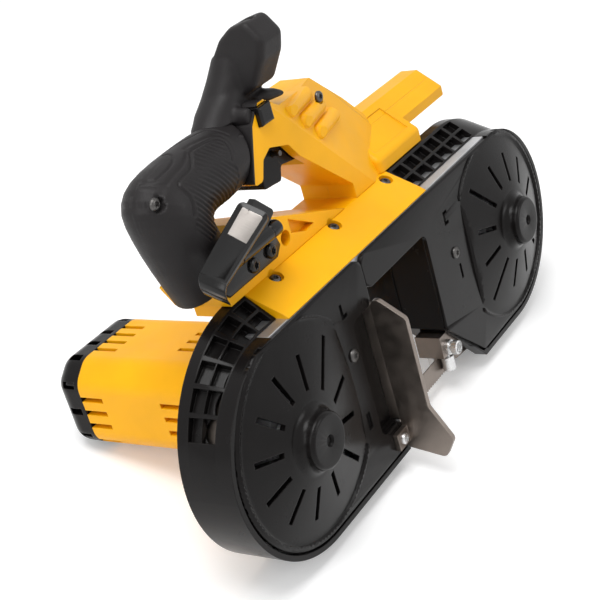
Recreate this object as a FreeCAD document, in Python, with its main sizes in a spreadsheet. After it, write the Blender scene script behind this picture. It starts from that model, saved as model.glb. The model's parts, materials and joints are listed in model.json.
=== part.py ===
import FreeCAD, Part
import Sketcher
import math
import os

V = FreeCAD.Vector

# A portable band saw, drawn in its own axes: X runs from the drive wheel to the idler wheel,
# Y back towards the motor and Z up towards the handle. The zero point is the middle of the
# left cover's round end, on the covers' flat face. Lengths are millimetres, angles degrees.
SIZES = {
    # Wheels, band and covers
    "wheel_spacing": 252,
    "axis_outset": 6,
    "band_radius": 52.7,
    "band_thickness": 0.6,
    "band_width": 12.5,
    "band_gap": 0.3,
    "tooth_pitch": 2.5,
    "tooth_depth": 1.2,
    "twist_start": 16,
    "twist_left_end": 55,
    "twist_right_end": 172,
    "wheel_front": 6,
    "wheel_width": 14,
    "wheel_web": 5,
    "wheel_hub_radius": 15,
    "wheel_rim": 6,
    "wheel_hole_radius": 8,
    "tyre_thickness": 2.5,
    "shaft_radius": 6,
    "hub_nut_radius": 10,
    "hub_nut_height": 5,
    "bearing_wall": 5,
    "bearing_width": 6,
    "overrun": 2,
    "running_gap": 0.05,
    # Covers
    "cover_room": 7.3,
    "cover_drop": 1.1,
    "cover_wall": 2.5,
    "cover_seam": 81,
    "cover_seam_gap": 0.6,
    "cover_corner": 5,
    "throat_left": 59.5,
    "throat_right": 150,
    "throat_top_left": 29,
    "throat_top_right": 37,
    "arm_end": 82,
    "arm_room": 9.7,
    "notch_right": 187,
    "notch_top": -26,
    "dish_radius": 55.5,
    "dish_rise": 7.5,
    "dish_ridge": 44,
    "bead_radius": 58.6,
    "bead_width": 1.6,
    "bead_rise": 0.9,
    "hub_radius": 15,
    "hub_rise": 16.5,
    "hub_round": 2.4,
    "hub_flare": 5.5,
    "hub_dimple_radius": 3.2,
    "hub_dimple_depth": 1.6,
    "slot_inner": 25,
    "slot_outer": 43,
    "slot_far": 53,
    "slot_width": 3,
    "cover_screw_radius": 3.6,
    "cover_screw_head": 1.6,
    "left_screw_x": 53,
    "left_screw_z": 13,
    "right_screw_x": 178,
    "right_screw_z": 11,
    # Frame
    "frame_front": 22,
    "frame_plate": 6,
    "strip_drop": 0.1,
    "strip_thickness": 2.4,
    # Rear guards
    "guard_depth": 31,
    "guard_wall": 3,
    "guard_margin": 4.5,
    "guard_front_room": 4.8,
    "guard_crown": 12.5,
    "guard_slope_front": 9,
    "guard_slope_rear": 24.5,
    "guard_left_end": 12,
    "guard_right_end": 165,
    "guard_gap": 0.4,
    "cheek_front": 6,
    "band_slot": 10,
    "waffle_pocket": 11.5,
    "waffle_rib": 2.2,
    "waffle_depth": 4,
    "waffle_row": 7.4,
    "shaft_clearance": 0.6,
    # Gears
    "gear_module": 1,
    "gear_width": 7,
    "gear_front": 34,
    "gear_gap": 1.5,
    "gear_case_wall": 3,
    "gear_tip_room": 2,
    "counter_radius": 3,
    # Motor
    "motor_x": 30,
    "motor_z": 3,
    "motor_half_width": 35.5,
    "motor_half_height": 28,
    "motor_corner_x": 12,
    "motor_corner_z": 10,
    "motor_round": 12,
    "motor_wall": 3,
    "motor_end": 147,
    "cap_end": 167,
    "cap_round": 12,
    "cap_lip": 3,
    "motor_bore": 25.5,
    "stator_inner": 16,
    "rotor_gap": 0.6,
    "stator_length": 44,
    "stator_front": 84,
    "stator_slot": 6,
    "motor_shaft_radius": 3,
    "fan_radius": 22,
    "fan_front": 66,
    "fan_width": 8,
    "fan_blade": 1.8,
    "vent_length": 16,
    "vent_width": 3,
    "vent_pitch": 8.5,
    "vent_front": 73,
    "cap_vent_width": 4,
    "cap_vent_depth": 9,
    # Handle shells
    "handle_mid": 42,
    "handle_half": 18,
    "beam_toe": 1.6,
    "beam_toe_rise": 0.6,
    "beam_lip_front": 5,
    "beam_lip_rise": 2.8,
    "beam_edge": 25,
    "beam_rise": 13.1,
    "beam_round": 3,
    "grip_z": 130,
    "grip_side": 17.6,
    "grip_front": 48,
    "grip_reach": 74,
    "grip_drop": 55,
    "grip_screw_x": -21,
    "grip_screw_z": 135.5,
    "foot_left": 0,
    "foot_right": 114,
    "foot_outer_x": -7,
    "foot_outer_z": 84,
    "foot_inner_x": 31,
    "foot_inner_z": 100,
    "foot_shoulder_x": 48,
    "foot_shoulder_z": 96,
    "recess_left": 62,
    "recess_right": 83,
    "recess_low": 75.5,
    "recess_rise": 8,
    "recess_fall": 5,
    "recess_depth": 5,
    "web_screw_x": 56,
    "web_screw_z": 80.5,
    "housing_top": 152,
    "housing_left": 54.5,
    "housing_slant": 9,
    "brow_x": 69,
    "brow_low_x": 84,
    "brow_low_z": 143,
    "housing_shoulder_x": 116,
    "housing_shoulder_z": 139.5,
    "boss_x": 137,
    "slope_mid_x": 167,
    "slope_mid_z": 116,
    "slope_end_x": 186,
    "slope_end_z": 98,
    "strip_left": 43,
    "strip_right": 51.5,
    "strip_low": 114.5,
    "arch_left_x": 56.5,
    "arch_left_z": 124,
    "arch_crown_x": 64,
    "arch_crown_z": 127.5,
    "arch_right_x": 80,
    "arch_right_z": 122.5,
    "column_top_x": 87.5,
    "column_top_z": 113,
    "column_foot_x": 128,
    "column_foot_z": 79,
    "fold_x": 77,
    "fold_z": 143,
    "fold_length": 150,
    "fold_lead": 12,
    "fold_reach": 90,
    "rib_x": 93,
    "rib_y": 27.6,
    "rib_z": 136.5,
    "rib_step": 14.4,
    "rib_length": 30,
    "rib_radius": 4.6,
    "boss_screw_x": 128,
    "boss_screw_z": 131,
    "switch_left": 66,
    "switch_right": 92,
    "switch_half": 8,
    "switch_height": 9,
    "shell_round": 2.5,
    # Battery receiver
    "tower_left": 160,
    "tower_step": 211,
    "tower_right": 268,
    "tower_front_top": 78.6,
    "tower_crest": 49,
    "tower_crest_top": 98,
    "arm_front": 34,
    "arm_under": 80,
    "arm_front_top": 85.9,
    "arm_back_under": 74,
    "tower_round": 4,
    "panel_inset": 5,
    "panel_depth": 0.8,
    "rail_depth": 4,
    "rail_height": 3.5,
    "rail_inset": 6,
    "rail_lip": 2,
    # Front knob
    "knob_x": 76,
    "knob_half": 10.5,
    "knob_front_y": 15,
    "knob_front_z": 172,
    "knob_brow_y": 12,
    "knob_brow_z": 182,
    "knob_top_y": 20,
    "knob_top_z": 192.5,
    "knob_crown_y": 31,
    "knob_crown_z": 190,
    "knob_nape_y": 39,
    "knob_nape_z": 184.5,
    "knob_back_y": 51.5,
    "knob_back_z": 169,
    "knob_heel_y": 62.5,
    "knob_heel_z": 150,
    "knob_rear_lip_y": 58.5,
    "knob_rear_lip_z": 144,
    "knob_front_lip_y": 24,
    "knob_front_lip_z": 158,
    "knob_corner": 4,
    "knob_rim": 3,
    "knob_low": 140,
    "neck_half_x": 10,
    "neck_foot_half_x": 17,
    "neck_foot_shift": 8,
    "neck_half_y": 11.6,
    "neck_top_half_y": 11.5,
    "neck_y": 40,
    "neck_top": 174,
    "collar_half_x": 24,
    "collar_half_y": 11.6,
    "collar_height": 8,
    "collar_low": 141,
    "knob_hole_radius": 3.4,
    "knob_hole_depth": 6,
    "knob_hole_y": 24,
    "knob_hole_z": 192,
    # Trigger and lock button
    "trigger_width": 22,
    "trigger_pivot_x": 74,
    "trigger_pivot_z": 120.5,
    "trigger_pin_radius": 1.5,
    "trigger_pin_reach": 16,
    "trigger_heel_x": 60,
    "trigger_heel_z": 122,
    "trigger_toe_x": 59.5,
    "trigger_toe_z": 106,
    "trigger_tip_x": 75.5,
    "trigger_tip_z": 104.5,
    "trigger_notch_x": 78.5,
    "trigger_notch_z": 112,
    "trigger_lobe_x": 93,
    "trigger_lobe_z": 109.5,
    "trigger_lobe_rise": 5,
    "trigger_crest_x": 78,
    "trigger_crest_z": 125,
    "trigger_round": 2,
    "trigger_room": 1,
    "trigger_bay_left": 55,
    "trigger_bay_right": 98,
    "trigger_bay_low": 100,
    "trigger_bay_top": 128.5,
    "lock_x": 66,
    "lock_z": 145,
    "lock_side": 11,
    "lock_height": 10,
    "lock_proud": 3.2,
    "lock_round": 1.5,
    "lock_inside": 8,
    "lock_travel": 3,
    "slide_gap": 0.3,
    # Hook
    "hook_left": -3,
    "hook_right": 46,
    "hook_bottom": 77,
    "hook_top": 97,
    "hook_plate": 4,
    "hook_corner": 5,
    "hook_bar_radius": 2.6,
    "hook_strap": 3,
    "hook_room": 0.5,
    "hook_eye": 8,
    "hook_tip_x": 41,
    "hook_tip_z": 103,
    "hook_crest_x": 27,
    "hook_crest_z": 116.5,
    "hook_shoulder_x": 20,
    "hook_tail_x": -24,
    "hook_tail_z": 104,
    "hook_round": 1.8,
    "hook_screw_x": 36,
    "hook_screw_pitch": 16,
    "hook_screw_z": 83,
    "hook_screw_radius": 4,
    # Material stop
    "stop_x": 79,
    "stop_thickness": 3,
    "stop_front": -20,
    "stop_top": 21,
    "stop_shoulder_y": -5.5,
    "stop_shoulder_z": 32,
    "stop_low": -34,
    "stop_toe_y": -31,
    "stop_toe_z": -54,
    "stop_sole_y": -24,
    "stop_sole_z": -66,
    "stop_heel_z": -61,
    "stop_round": 4,
    "stop_tab": 11,
    # Band guides
    "guide_left_x": 66,
    "guide_right_x": 155,
    "guide_half": 9,
    "guide_lift": 8.7,
    "guide_height": 14,
    "guide_front": 5,
    "guide_back": 22,
    "roller_radius": 4,
    "roller_height": 9,
    "roller_pin_radius": 2,
    "back_roller_radius": 4.5,
    "back_roller_width": 5,
    # Tension
    "slide_half_x": 15,
    "slide_half_z": 13,
    "spring_room": 12,
    "cam_radius": 9,
    "cam_throw": 3,
    "cam_gap": 0.6,
    "lever_shaft_radius": 4,
    "lever_length": 46,
    "lever_width": 14,
    "lever_thickness": 6,
    "lever_boss": 9,
    "lever_rise": 2,
    "disc_outer": 7,
    "disc_thickness": 1.2,
    "disc_cup": 1,
    # Screws
    "screw_radius": 3.2,
    "screw_head": 2,
    "screw_recess": 4.2,
    "screw_depth": 8,
    "beam_screw_first": 36,
    "beam_screw_pitch": 60.5,
    "beam_screw_y": 21.3,
    "beam_screw_sink": 2.5,
}

# Counts
SLOTS = 12
LONG_SLOTS = {"left_cover": (1, 10), "right_cover": (4, 7)}
WAFFLE_CELLS = 6
PINION_TEETH = 9
FIRST_GEAR_TEETH = 38
SECOND_PINION_TEETH = 11
DRIVE_GEAR_TEETH = 46
FAN_BLADES = 9
WHEEL_HOLES = 5
WAFFLE_ROWS = 2
DISC_SPRINGS = 3
CAP_VENTS = 14
STATOR_SLOTS = 6
BEAM_SCREWS = 3
HOOK_SCREWS = 2
HOUSING_RIBS = 3
TWIST_STEPS = 5

# Rows of motor vents: the angle round the motor and how many slots
FRONT_VENT_ROWS = ((90, 3), (180, 3), (0, 3), (218, 2))
REAR_VENT_ROWS = ((90, 4), (180, 3), (0, 3), (270, 4), (218, 2))

# Shapes as shares of the sizes that they follow
LEVER_TAPER_SHARE = 0.6
TOOTH_TIP_SHARE = 0.9
TOOTH_FOOT_SHARE = 1.15
TIP_WIDTH_SHARE = 0.11
FOOT_WIDTH_SHARE = 0.22
GULLET_SHARE = 0.6
COLLAR_SHARES = (1, 1, 0.75)
SLOT_TURN_SHARE = 0.5

# Angles in degrees: the knob's lean and the housing's folded face
KNOB_LEAN = 25
FOLD_TILT = 23
FOLD_RUN = 45

# The grip's sections: inner and outer point as shares of its reach and drop, and a share of its half width
GRIP_SHARES = (
    ((-0.073, -0.322), (0.073, 0.322), 1.000),
    ((-0.189, -0.345), (-0.189, 0.345), 1.000),
    ((-0.311, -0.349), (-0.459, 0.338), 1.006),
    ((-0.365, -0.358), (-0.730, 0.309), 1.040),
    ((-0.388, -0.376), (-0.919, 0.227), 1.080),
    ((-0.395, -0.404), (-1.007, 0.055), 1.097),
    ((-0.388, -0.440), (-0.993, -0.218), 1.068),
    ((-0.351, -0.536), (-0.926, -0.582), 1.011),
    ((-0.278, -0.675), (-0.814, -0.998), 1.000),
)
GRIP_STEPS = 2

doc = FreeCAD.newDocument("BandSaw")
sheet = doc.addObject("Spreadsheet::Sheet", "Sizes")
for row, (alias, value) in enumerate(SIZES.items(), start=1):
    sheet.set(f"A{row}", alias)
    sheet.set(f"B{row}", str(value))
    sheet.setAlias(f"B{row}", alias)
doc.recompute()


class Size:
    """A length with the sheet formula that it follows."""

    def __init__(self, value, text):
        self.value = value
        self.text = text

    def __add__(self, other):
        return Size(self.value + number(other), f"({self.text} + {formula(other)})")

    def __sub__(self, other):
        return Size(self.value - number(other), f"({self.text} - {formula(other)})")

    def __mul__(self, other):
        return Size(self.value * number(other), f"({self.text} * {formula(other)})")

    def __truediv__(self, other):
        return Size(self.value / number(other), f"({self.text} / {formula(other)})")

    def __neg__(self):
        return Size(-self.value, f"(0 - {self.text})")


def number(size):
    return size.value if isinstance(size, Size) else size


def formula(size):
    return size.text if isinstance(size, Size) else f"({size})"


class Sheet:
    """The sheet's cells as sizes."""

    def __getattr__(self, alias):
        return Size(float(sheet.get(alias)), f"Sizes.{alias}")


S = Sheet()
ZERO = Size(0, "0")


def bind(obj, name, size):
    """Tie one property of an object to the sheet."""
    obj.setExpression(name, formula(size))


def locate(obj, x, y, z):
    bind(obj, "Placement.Base.x", x)
    bind(obj, "Placement.Base.y", y)
    bind(obj, "Placement.Base.z", z)


# Solids from primitives

def box(name, x, y, z):
    """A block between two bounds along each axis."""
    obj = doc.addObject("Part::Box", name)
    bind(obj, "Length", x[1] - x[0])
    bind(obj, "Width", y[1] - y[0])
    bind(obj, "Height", z[1] - z[0])
    locate(obj, x[0], y[0], z[0])
    return obj


TURN_TO = {
    "x": FreeCAD.Rotation(V(0, 1, 0), 90),
    "y": FreeCAD.Rotation(V(1, 0, 0), -90),
    "z": FreeCAD.Rotation(),
}


def rod(name, radius, start, length, axis="y"):
    """A cylinder that starts at a point and runs along one axis."""
    obj = doc.addObject("Part::Cylinder", name)
    bind(obj, "Radius", radius)
    bind(obj, "Height", length)
    obj.Placement.Rotation = TURN_TO[axis]
    locate(obj, *start)
    return obj


def cone(name, low, high, start, length, axis="y"):
    """A straight taper from one radius to another."""
    obj = doc.addObject("Part::Cone", name)
    bind(obj, "Radius1", low)
    bind(obj, "Radius2", high)
    bind(obj, "Height", length)
    obj.Placement.Rotation = TURN_TO[axis]
    locate(obj, *start)
    return obj


def ball(name, radius, centre):
    obj = doc.addObject("Part::Sphere", name)
    bind(obj, "Radius", radius)
    locate(obj, *centre)
    return obj


def fuse(name, *shapes):
    obj = doc.addObject("Part::MultiFuse", name)
    obj.Shapes = list(shapes)
    obj.Refine = True
    return obj


def group(name, *shapes):
    """Separate solids kept together under one name."""
    obj = doc.addObject("Part::Compound", name)
    obj.Links = list(shapes)
    return obj


def cut(name, base, *tools):
    obj = doc.addObject("Part::Cut", name)
    obj.Base = base
    obj.Tool = tools[0] if len(tools) == 1 else fuse(name + "_tools", *tools)
    obj.Refine = True
    return obj


def common(name, first, second):
    obj = doc.addObject("Part::Common", name)
    obj.Base = first
    obj.Tool = second
    obj.Refine = True
    return obj


# Solids from sketches

class Bend:
    """An arc between the corners before and after it, about a centre."""

    def __init__(self, centre, clockwise=False):
        self.centre = centre
        self.clockwise = clockwise


def arc_edge(start, end, bend):
    """The arc of a bend from one corner to the next."""
    middle = V(number(bend.centre[0]), number(bend.centre[1]), 0)
    first = math.atan2(start.y - middle.y, start.x - middle.x)
    last = math.atan2(end.y - middle.y, end.x - middle.x)
    circle = Part.Circle(middle, V(0, 0, 1), start.distanceToPoint(middle))
    if bend.clockwise:
        first, last = last, first
    return Part.ArcOfCircle(circle, first, last)


def draw(sketch, path):
    """Draw a closed outline of corners and bends, each corner and centre tied to the sheet."""
    corners = [item for item in path if not isinstance(item, Bend)]
    bends = []
    for item in path:
        if isinstance(item, Bend):
            bends[-1] = item
        else:
            bends.append(None)
    count = len(corners)
    first = sketch.GeometryCount
    points = [V(number(x), number(y), 0) for x, y in corners]
    for i in range(count):
        start, end = points[i], points[(i + 1) % count]
        edge = arc_edge(start, end, bends[i]) if bends[i] else Part.LineSegment(start, end)
        sketch.addGeometry(edge)

    def tip(i, at_end):
        """The end of an edge where the outline arrives or leaves."""
        turned = bends[i] is not None and bends[i].clockwise
        return 2 if at_end != turned else 1

    def fix(kind, edge, point, size):
        index = sketch.addConstraint(Sketcher.Constraint(kind, -1, 1, edge, point, number(size)))
        sketch.setExpression(f"Constraints[{index}]", formula(size))

    for i in range(count):
        after = (i + 1) % count
        joint = Sketcher.Constraint("Coincident", first + i, tip(i, True), first + after, tip(after, False))
        sketch.addConstraint(joint)
    for i, (x, y) in enumerate(corners):
        fix("DistanceX", first + i, tip(i, False), x)
        fix("DistanceY", first + i, tip(i, False), y)
        if bends[i]:
            chord = points[(i + 1) % count] - points[i]
            flat = abs(chord.x) > abs(chord.y)
            fix("DistanceY" if flat else "DistanceX", first + i, CENTRE, bends[i].centre[1 if flat else 0])


CENTRE = 3
PLANES = {"xz": "XZ_Plane", "xy": "XY_Plane", "yz": "YZ_Plane"}


def sketch_on(body, name, plane, offset=None, origin=None):
    """A sketch on one of a body's planes, moved along its normal and within the plane."""
    sketch = body.newObject("Sketcher::SketchObject", name)
    role = PLANES[plane]
    support = [item for item in body.Origin.OriginFeatures if item.Role == role][0]
    sketch.AttachmentSupport = [(support, "")]
    sketch.MapMode = "FlatFace"
    if offset is not None:
        bind(sketch, "AttachmentOffset.Base.z", -offset if plane == "xz" else offset)
    if origin is not None:
        bind(sketch, "AttachmentOffset.Base.x", origin[0])
        bind(sketch, "AttachmentOffset.Base.y", origin[1])
    return sketch


def new_body(name):
    body = doc.addObject("PartDesign::Body", name)
    body.Label = name
    return body


def pad(body, name, plane, span, path):
    """Raise an outline between two bounds along the plane's own axis."""
    sketch = sketch_on(body, name + "_sketch", plane, span[0])
    draw(sketch, path)
    feature = body.newObject("PartDesign::Pad", name)
    feature.Profile = sketch
    bind(feature, "Length", span[1] - span[0])
    feature.Reversed = plane == "xz"
    return feature


def pocket(body, name, plane, span, path):
    """Sink an outline between two bounds along the plane's own axis."""
    sketch = sketch_on(body, name + "_sketch", plane, span[0])
    draw(sketch, path)
    feature = body.newObject("PartDesign::Pocket", name)
    feature.Profile = sketch
    bind(feature, "Length", span[1] - span[0])
    feature.Reversed = plane != "xz"
    return feature


def round_edges(body, name, feature, radius, wanted):
    """Round the edges of a feature that a test picks."""
    doc.recompute()
    names = [f"Edge{i + 1}" for i, edge in enumerate(feature.Shape.Edges) if wanted(edge)]
    fillet = body.newObject("PartDesign::Fillet", name)
    fillet.Base = (feature, names)
    bind(fillet, "Radius", radius)
    return fillet


def along(axis):
    """A test for straight edges that run along an axis."""
    def test(edge):
        if edge.Curve.TypeId != "Part::GeomLine":
            return False
        return abs(abs(edge.tangentAt(edge.FirstParameter).dot(axis)) - 1) < ANGLE_TOLERANCE
    return test


ANGLE_TOLERANCE = 1e-6
EDGE_TOLERANCE = 1e-3
X_AXIS, Y_AXIS, Z_AXIS = V(1, 0, 0), V(0, 1, 0), V(0, 0, 1)

NODES = []
PLAIN_SOLIDS = ("Part::Box", "Part::Cylinder", "Part::Cone", "Part::Sphere")


def node(obj, name):
    """Name a finished sub-part; a plain solid is wrapped, so that its own place stays tied to the sheet."""
    if obj.TypeId in PLAIN_SOLIDS:
        obj.Label = name + "_form"
        obj = group(name + "_node", obj)
    obj.Label = name
    NODES.append(obj)
    return obj


# Places that several pieces share

def root(size):
    return Size(size.value ** 0.5, f"sqrt({size.text})")


cover_spacing = S.wheel_spacing - S.axis_outset * 2
left_axis = -S.axis_outset
right_axis = cover_spacing + S.axis_outset
cover_radius = S.band_radius + S.cover_room
guard_radius = cover_radius + S.guard_margin
front_crown = S.band_radius + S.guard_front_room
rear_crown = front_crown + S.guard_crown
cover_top = front_crown - S.cover_drop
strip_top = front_crown - S.strip_drop
beam_toe_top = strip_top + S.beam_toe_rise
beam_lip_top = strip_top + S.beam_lip_rise
beam_top = strip_top + S.beam_rise
arm_top = S.arm_room - S.band_radius
guide_bottom = S.guide_lift - S.band_radius
guide_top = guide_bottom + S.guide_height
wheel_back = S.wheel_front + S.wheel_width
frame_back = S.frame_front + S.frame_plate
tyre_radius = S.band_radius - S.band_thickness / 2 - S.band_gap
wheel_radius = tyre_radius - S.tyre_thickness
guard_floor = S.guard_depth - S.guard_wall
handle_front = S.handle_mid - S.handle_half
handle_back = S.handle_mid + S.handle_half


# Covers: a flat plate with a rim bead, a shallow cone cut off straight beside the throat, and a hub cap

def spoke(name, axis, angle, reach, depth, offset, width):
    """A block that points out from an axis at an angle, shifted sideways by an offset."""
    out = (math.cos(math.radians(angle)), math.sin(math.radians(angle)))
    side = offset - width / 2
    obj = doc.addObject("Part::Box", name)
    bind(obj, "Length", reach[1] - reach[0])
    bind(obj, "Width", depth[1] - depth[0])
    bind(obj, "Height", width)
    obj.Placement.Rotation = FreeCAD.Rotation(Y_AXIS, -angle)
    x = axis[0] + reach[0] * out[0] - side * out[1]
    z = axis[1] + reach[0] * out[1] + side * out[0]
    locate(obj, x, depth[0], z)
    return obj


def tube(name, outer, inner, start, length, axis="y"):
    whole = rod(name + "_whole", outer, start, length, axis)
    bore = rod(name + "_bore", inner, start, length, axis)
    return cut(name, whole, bore)


def ring_at(name, radius, x, depth):
    """A circle square to the shafts, on the covers' middle line."""
    circle = doc.addObject("Part::Circle", name)
    bind(circle, "Radius", radius)
    circle.Placement.Rotation = TURN_TO["y"]
    locate(circle, x, depth, ZERO)
    return circle


def cone_between(name, wide, narrow):
    """A solid between two circles, each given by its radius, its place along X and its depth."""
    obj = doc.addObject("Part::Loft", name)
    obj.Sections = [ring_at(name + "_wide", *wide), ring_at(name + "_narrow", *narrow)]
    obj.Solid = True
    obj.Ruled = True
    return obj


def hub_profile():
    """Half the section of the hub cap, distance from the axis against depth."""
    crest = -S.dish_rise
    front = -S.hub_rise
    return [
        (ZERO, front + S.hub_dimple_depth),
        (S.hub_dimple_radius, front + S.hub_dimple_depth),
        (S.hub_dimple_radius, front),
        (S.hub_radius - S.hub_round, front),
        Bend((S.hub_radius - S.hub_round, front + S.hub_round)),
        (S.hub_radius, front + S.hub_round),
        (S.hub_radius, crest - S.hub_flare),
        Bend((hub_skirt, crest - S.hub_flare), clockwise=True),
        (hub_skirt, crest),
        (hub_skirt, crest + S.cover_wall / 2),
        (ZERO, crest + S.cover_wall / 2),
    ]


hub_skirt = S.hub_radius + S.hub_flare


def cover(name, axis_x, centre_x, side, path):
    """One cover; the side is 1 where the throat lies to the right of its hub and -1 to the left."""
    wall = S.cover_wall
    crest = -S.dish_rise
    body = new_body(name + "_body")
    plate = pad(body, name + "_plate", "xz", (ZERO, wall), path)
    round_edges(body, name + "_corners", plate, S.cover_corner, along(Y_AXIS))
    hub_body = new_body(name + "_hub_body")
    hub_sketch = sketch_on(hub_body, name + "_hub_sketch", "xy", ZERO, (axis_x, ZERO))
    draw(hub_sketch, hub_profile())
    hub = hub_body.newObject("PartDesign::Revolution", name + "_hub")
    hub.Profile = hub_sketch
    hub.ReferenceAxis = (hub_sketch, ["V_Axis"])
    ridge = centre_x + S.dish_ridge * side
    far = centre_x - cover_radius * side * 2
    inner_ridge = ridge - wall * side
    spans = [(far, ridge), (far, inner_ridge)] if side > 0 else [(ridge, far), (inner_ridge, far)]
    depths = (-S.hub_rise, wall + S.overrun * 2)
    crop = box(name + "_crop", spans[0], depths, (-cover_radius * 2, cover_top - S.bead_width))
    inner_crop = box(name + "_inner_crop", spans[1], depths, (-cover_radius * 2, cover_radius * 2))
    dish = cone_between(name + "_dish", (S.dish_radius, centre_x, ZERO), (hub_skirt, axis_x, crest))
    bead = tube(name + "_bead", S.bead_radius, S.bead_radius - S.bead_width, (centre_x, -S.bead_rise, ZERO),
                S.bead_rise)
    raised = common(name + "_raised", group(name + "_relief", dish, bead), crop)
    room = cone_between(name + "_room", (S.dish_radius - wall * 2, centre_x, wall + S.overrun),
                        (hub_skirt, axis_x, crest + wall))
    room_part = common(name + "_room_part", room, inner_crop)
    hub_room = rod(name + "_hub_room", S.hub_radius - wall, (axis_x, wall * 2 - S.hub_rise, ZERO),
                   S.hub_rise - wall / 2)
    slots = []
    for index in range(SLOTS):
        reach = (S.slot_inner, S.slot_far if index in LONG_SLOTS[name] else S.slot_outer)
        angle = 360 / SLOTS * (index + SLOT_TURN_SHARE)
        slots.append(spoke(f"{name}_slot_{index}", (axis_x, ZERO), angle, reach, depths, ZERO, S.slot_width))
    whole = fuse(name + "_whole", body, raised, hub_body)
    return node(cut(name, whole, room_part, hub_room, *slots), name)


left_edge = S.cover_seam - S.cover_seam_gap / 2
right_edge = S.cover_seam + S.cover_seam_gap / 2
cover_reach = root(cover_radius * cover_radius - cover_top * cover_top)
left_cover = cover("left_cover", left_axis, ZERO, 1, [
    (left_edge, cover_top),
    (-cover_reach, cover_top),
    Bend((ZERO, ZERO)),
    (ZERO, -cover_radius),
    (S.arm_end, -cover_radius),
    (S.arm_end, arm_top - S.cover_corner),
    (S.arm_end - S.cover_corner, arm_top),
    (S.throat_left, arm_top),
    (S.throat_left, S.throat_top_left),
    (left_edge, S.throat_top_left),
])
right_cover = cover("right_cover", right_axis, cover_spacing, -1, [
    (right_edge, S.throat_top_right),
    (S.throat_right, S.throat_top_right),
    (S.throat_right, S.notch_top),
    (S.notch_right, -cover_radius),
    (cover_spacing, -cover_radius),
    Bend((cover_spacing, ZERO)),
    (cover_spacing + cover_reach, cover_top),
    (right_edge, cover_top),
])


# Gear places: the countershaft stands where both meshes meet

def gear_radius(teeth):
    return S.gear_module * teeth / 2


span_x = S.motor_x - left_axis
span_z = S.motor_z
first_reach = gear_radius(PINION_TEETH + FIRST_GEAR_TEETH)
second_reach = gear_radius(SECOND_PINION_TEETH + DRIVE_GEAR_TEETH)
span = root(span_x * span_x + span_z * span_z)
foot_along = (second_reach * second_reach - first_reach * first_reach + span * span) / (span * 2)
foot_rise = root(second_reach * second_reach - foot_along * foot_along)
counter_x = left_axis + (span_x * foot_along - span_z * foot_rise) / span
counter_z = (span_z * foot_along + span_x * foot_rise) / span
counter_axis = (counter_x, counter_z)
motor_axis = (S.motor_x, S.motor_z)


# Frame: a cast plate behind the wheels with a bright top strip that carries the covers

def left_rim(crown, inset, throat):
    """The left guard's round edge and throat side, from the crown to the beam, drawn in by an inset."""
    reach = guard_radius - inset
    middle = crown - guard_radius
    return [
        (middle, crown - inset),
        Bend((middle, ZERO)),
        (-reach, ZERO),
        Bend((ZERO, ZERO)),
        (ZERO, -reach),
        (S.arm_end - inset, -reach),
        (S.arm_end - inset, arm_top - inset),
        (throat - inset, arm_top - inset),
        (throat - inset, S.throat_top_left + inset),
    ]


def right_rim(crown, inset):
    """The right guard's throat side and round edge, from the beam to the crown, drawn in by an inset."""
    reach = guard_radius - inset
    middle = cover_spacing - crown + guard_radius
    return [
        (S.throat_right + inset, S.throat_top_right + inset),
        (S.throat_right + inset, S.notch_top),
        (S.notch_right + inset, -reach),
        (cover_spacing, -reach),
        Bend((cover_spacing, ZERO)),
        (cover_spacing + reach, ZERO),
        Bend((middle, ZERO)),
        (middle, crown - inset),
    ]


frame_inset = S.guard_wall + S.guard_gap
strip_bottom = strip_top - S.strip_thickness
bearing_radius = S.shaft_radius + S.bearing_wall
slide_left = right_axis - S.slide_half_x
slide_right = right_axis + S.slide_half_x
cam_x = slide_right + S.cam_gap + S.cam_radius - S.cam_throw
window_left = slide_left - S.spring_room
window_right = cam_x + S.cam_radius + S.cam_throw + S.slide_gap
window_half = S.slide_half_z + S.slide_gap

frame_body = new_body("frame_body")
beam_step = S.cover_seam - frame_inset
frame_path = left_rim(front_crown, frame_inset, S.throat_left) + [
    (beam_step, S.throat_top_left + frame_inset),
    (beam_step, S.throat_top_right + frame_inset),
] + right_rim(front_crown, frame_inset)
pad(frame_body, "frame_plate_pad", "xz", (S.frame_front, frame_back), frame_path)
strip_foot = front_crown - frame_inset - S.guard_gap
pad(frame_body, "frame_strip_pad", "xz", (S.cover_wall, frame_back), [
    (left_axis, strip_foot),
    (right_axis, strip_foot),
    (right_axis, strip_top),
    (left_axis, strip_top),
])
pocket(frame_body, "frame_window", "xz", (S.frame_front, frame_back), [
    (window_left, -window_half),
    (window_right, -window_half),
    (window_right, window_half),
    (window_left, window_half),
])
frame_bore = rod("frame_bore", bearing_radius, (left_axis, S.frame_front, ZERO), S.frame_plate)
main_frame = node(cut("main_frame", frame_body, frame_bore), "main_frame")


# Rear guards: a deep rim round each wheel, with a sloped and ribbed crown

def flat_sketch(name, depth, path):
    """A sketch that stands square to the wheel shafts at a depth."""
    sketch = doc.addObject("Sketcher::SketchObject", name)
    sketch.Placement.Rotation = FreeCAD.Rotation(X_AXIS, 90)
    bind(sketch, "Placement.Base.y", depth)
    draw(sketch, path)
    return sketch


def prism(name, sketch, forward, back=None):
    """An outline drawn out along the shafts, back towards the motor or forward."""
    obj = doc.addObject("Part::Extrusion", name)
    obj.Base = sketch
    obj.DirMode = "Custom"
    obj.Dir = Y_AXIS
    obj.Solid = True
    bind(obj, "LengthFwd", forward)
    if back is not None:
        bind(obj, "LengthRev", back)
    return obj


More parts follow.
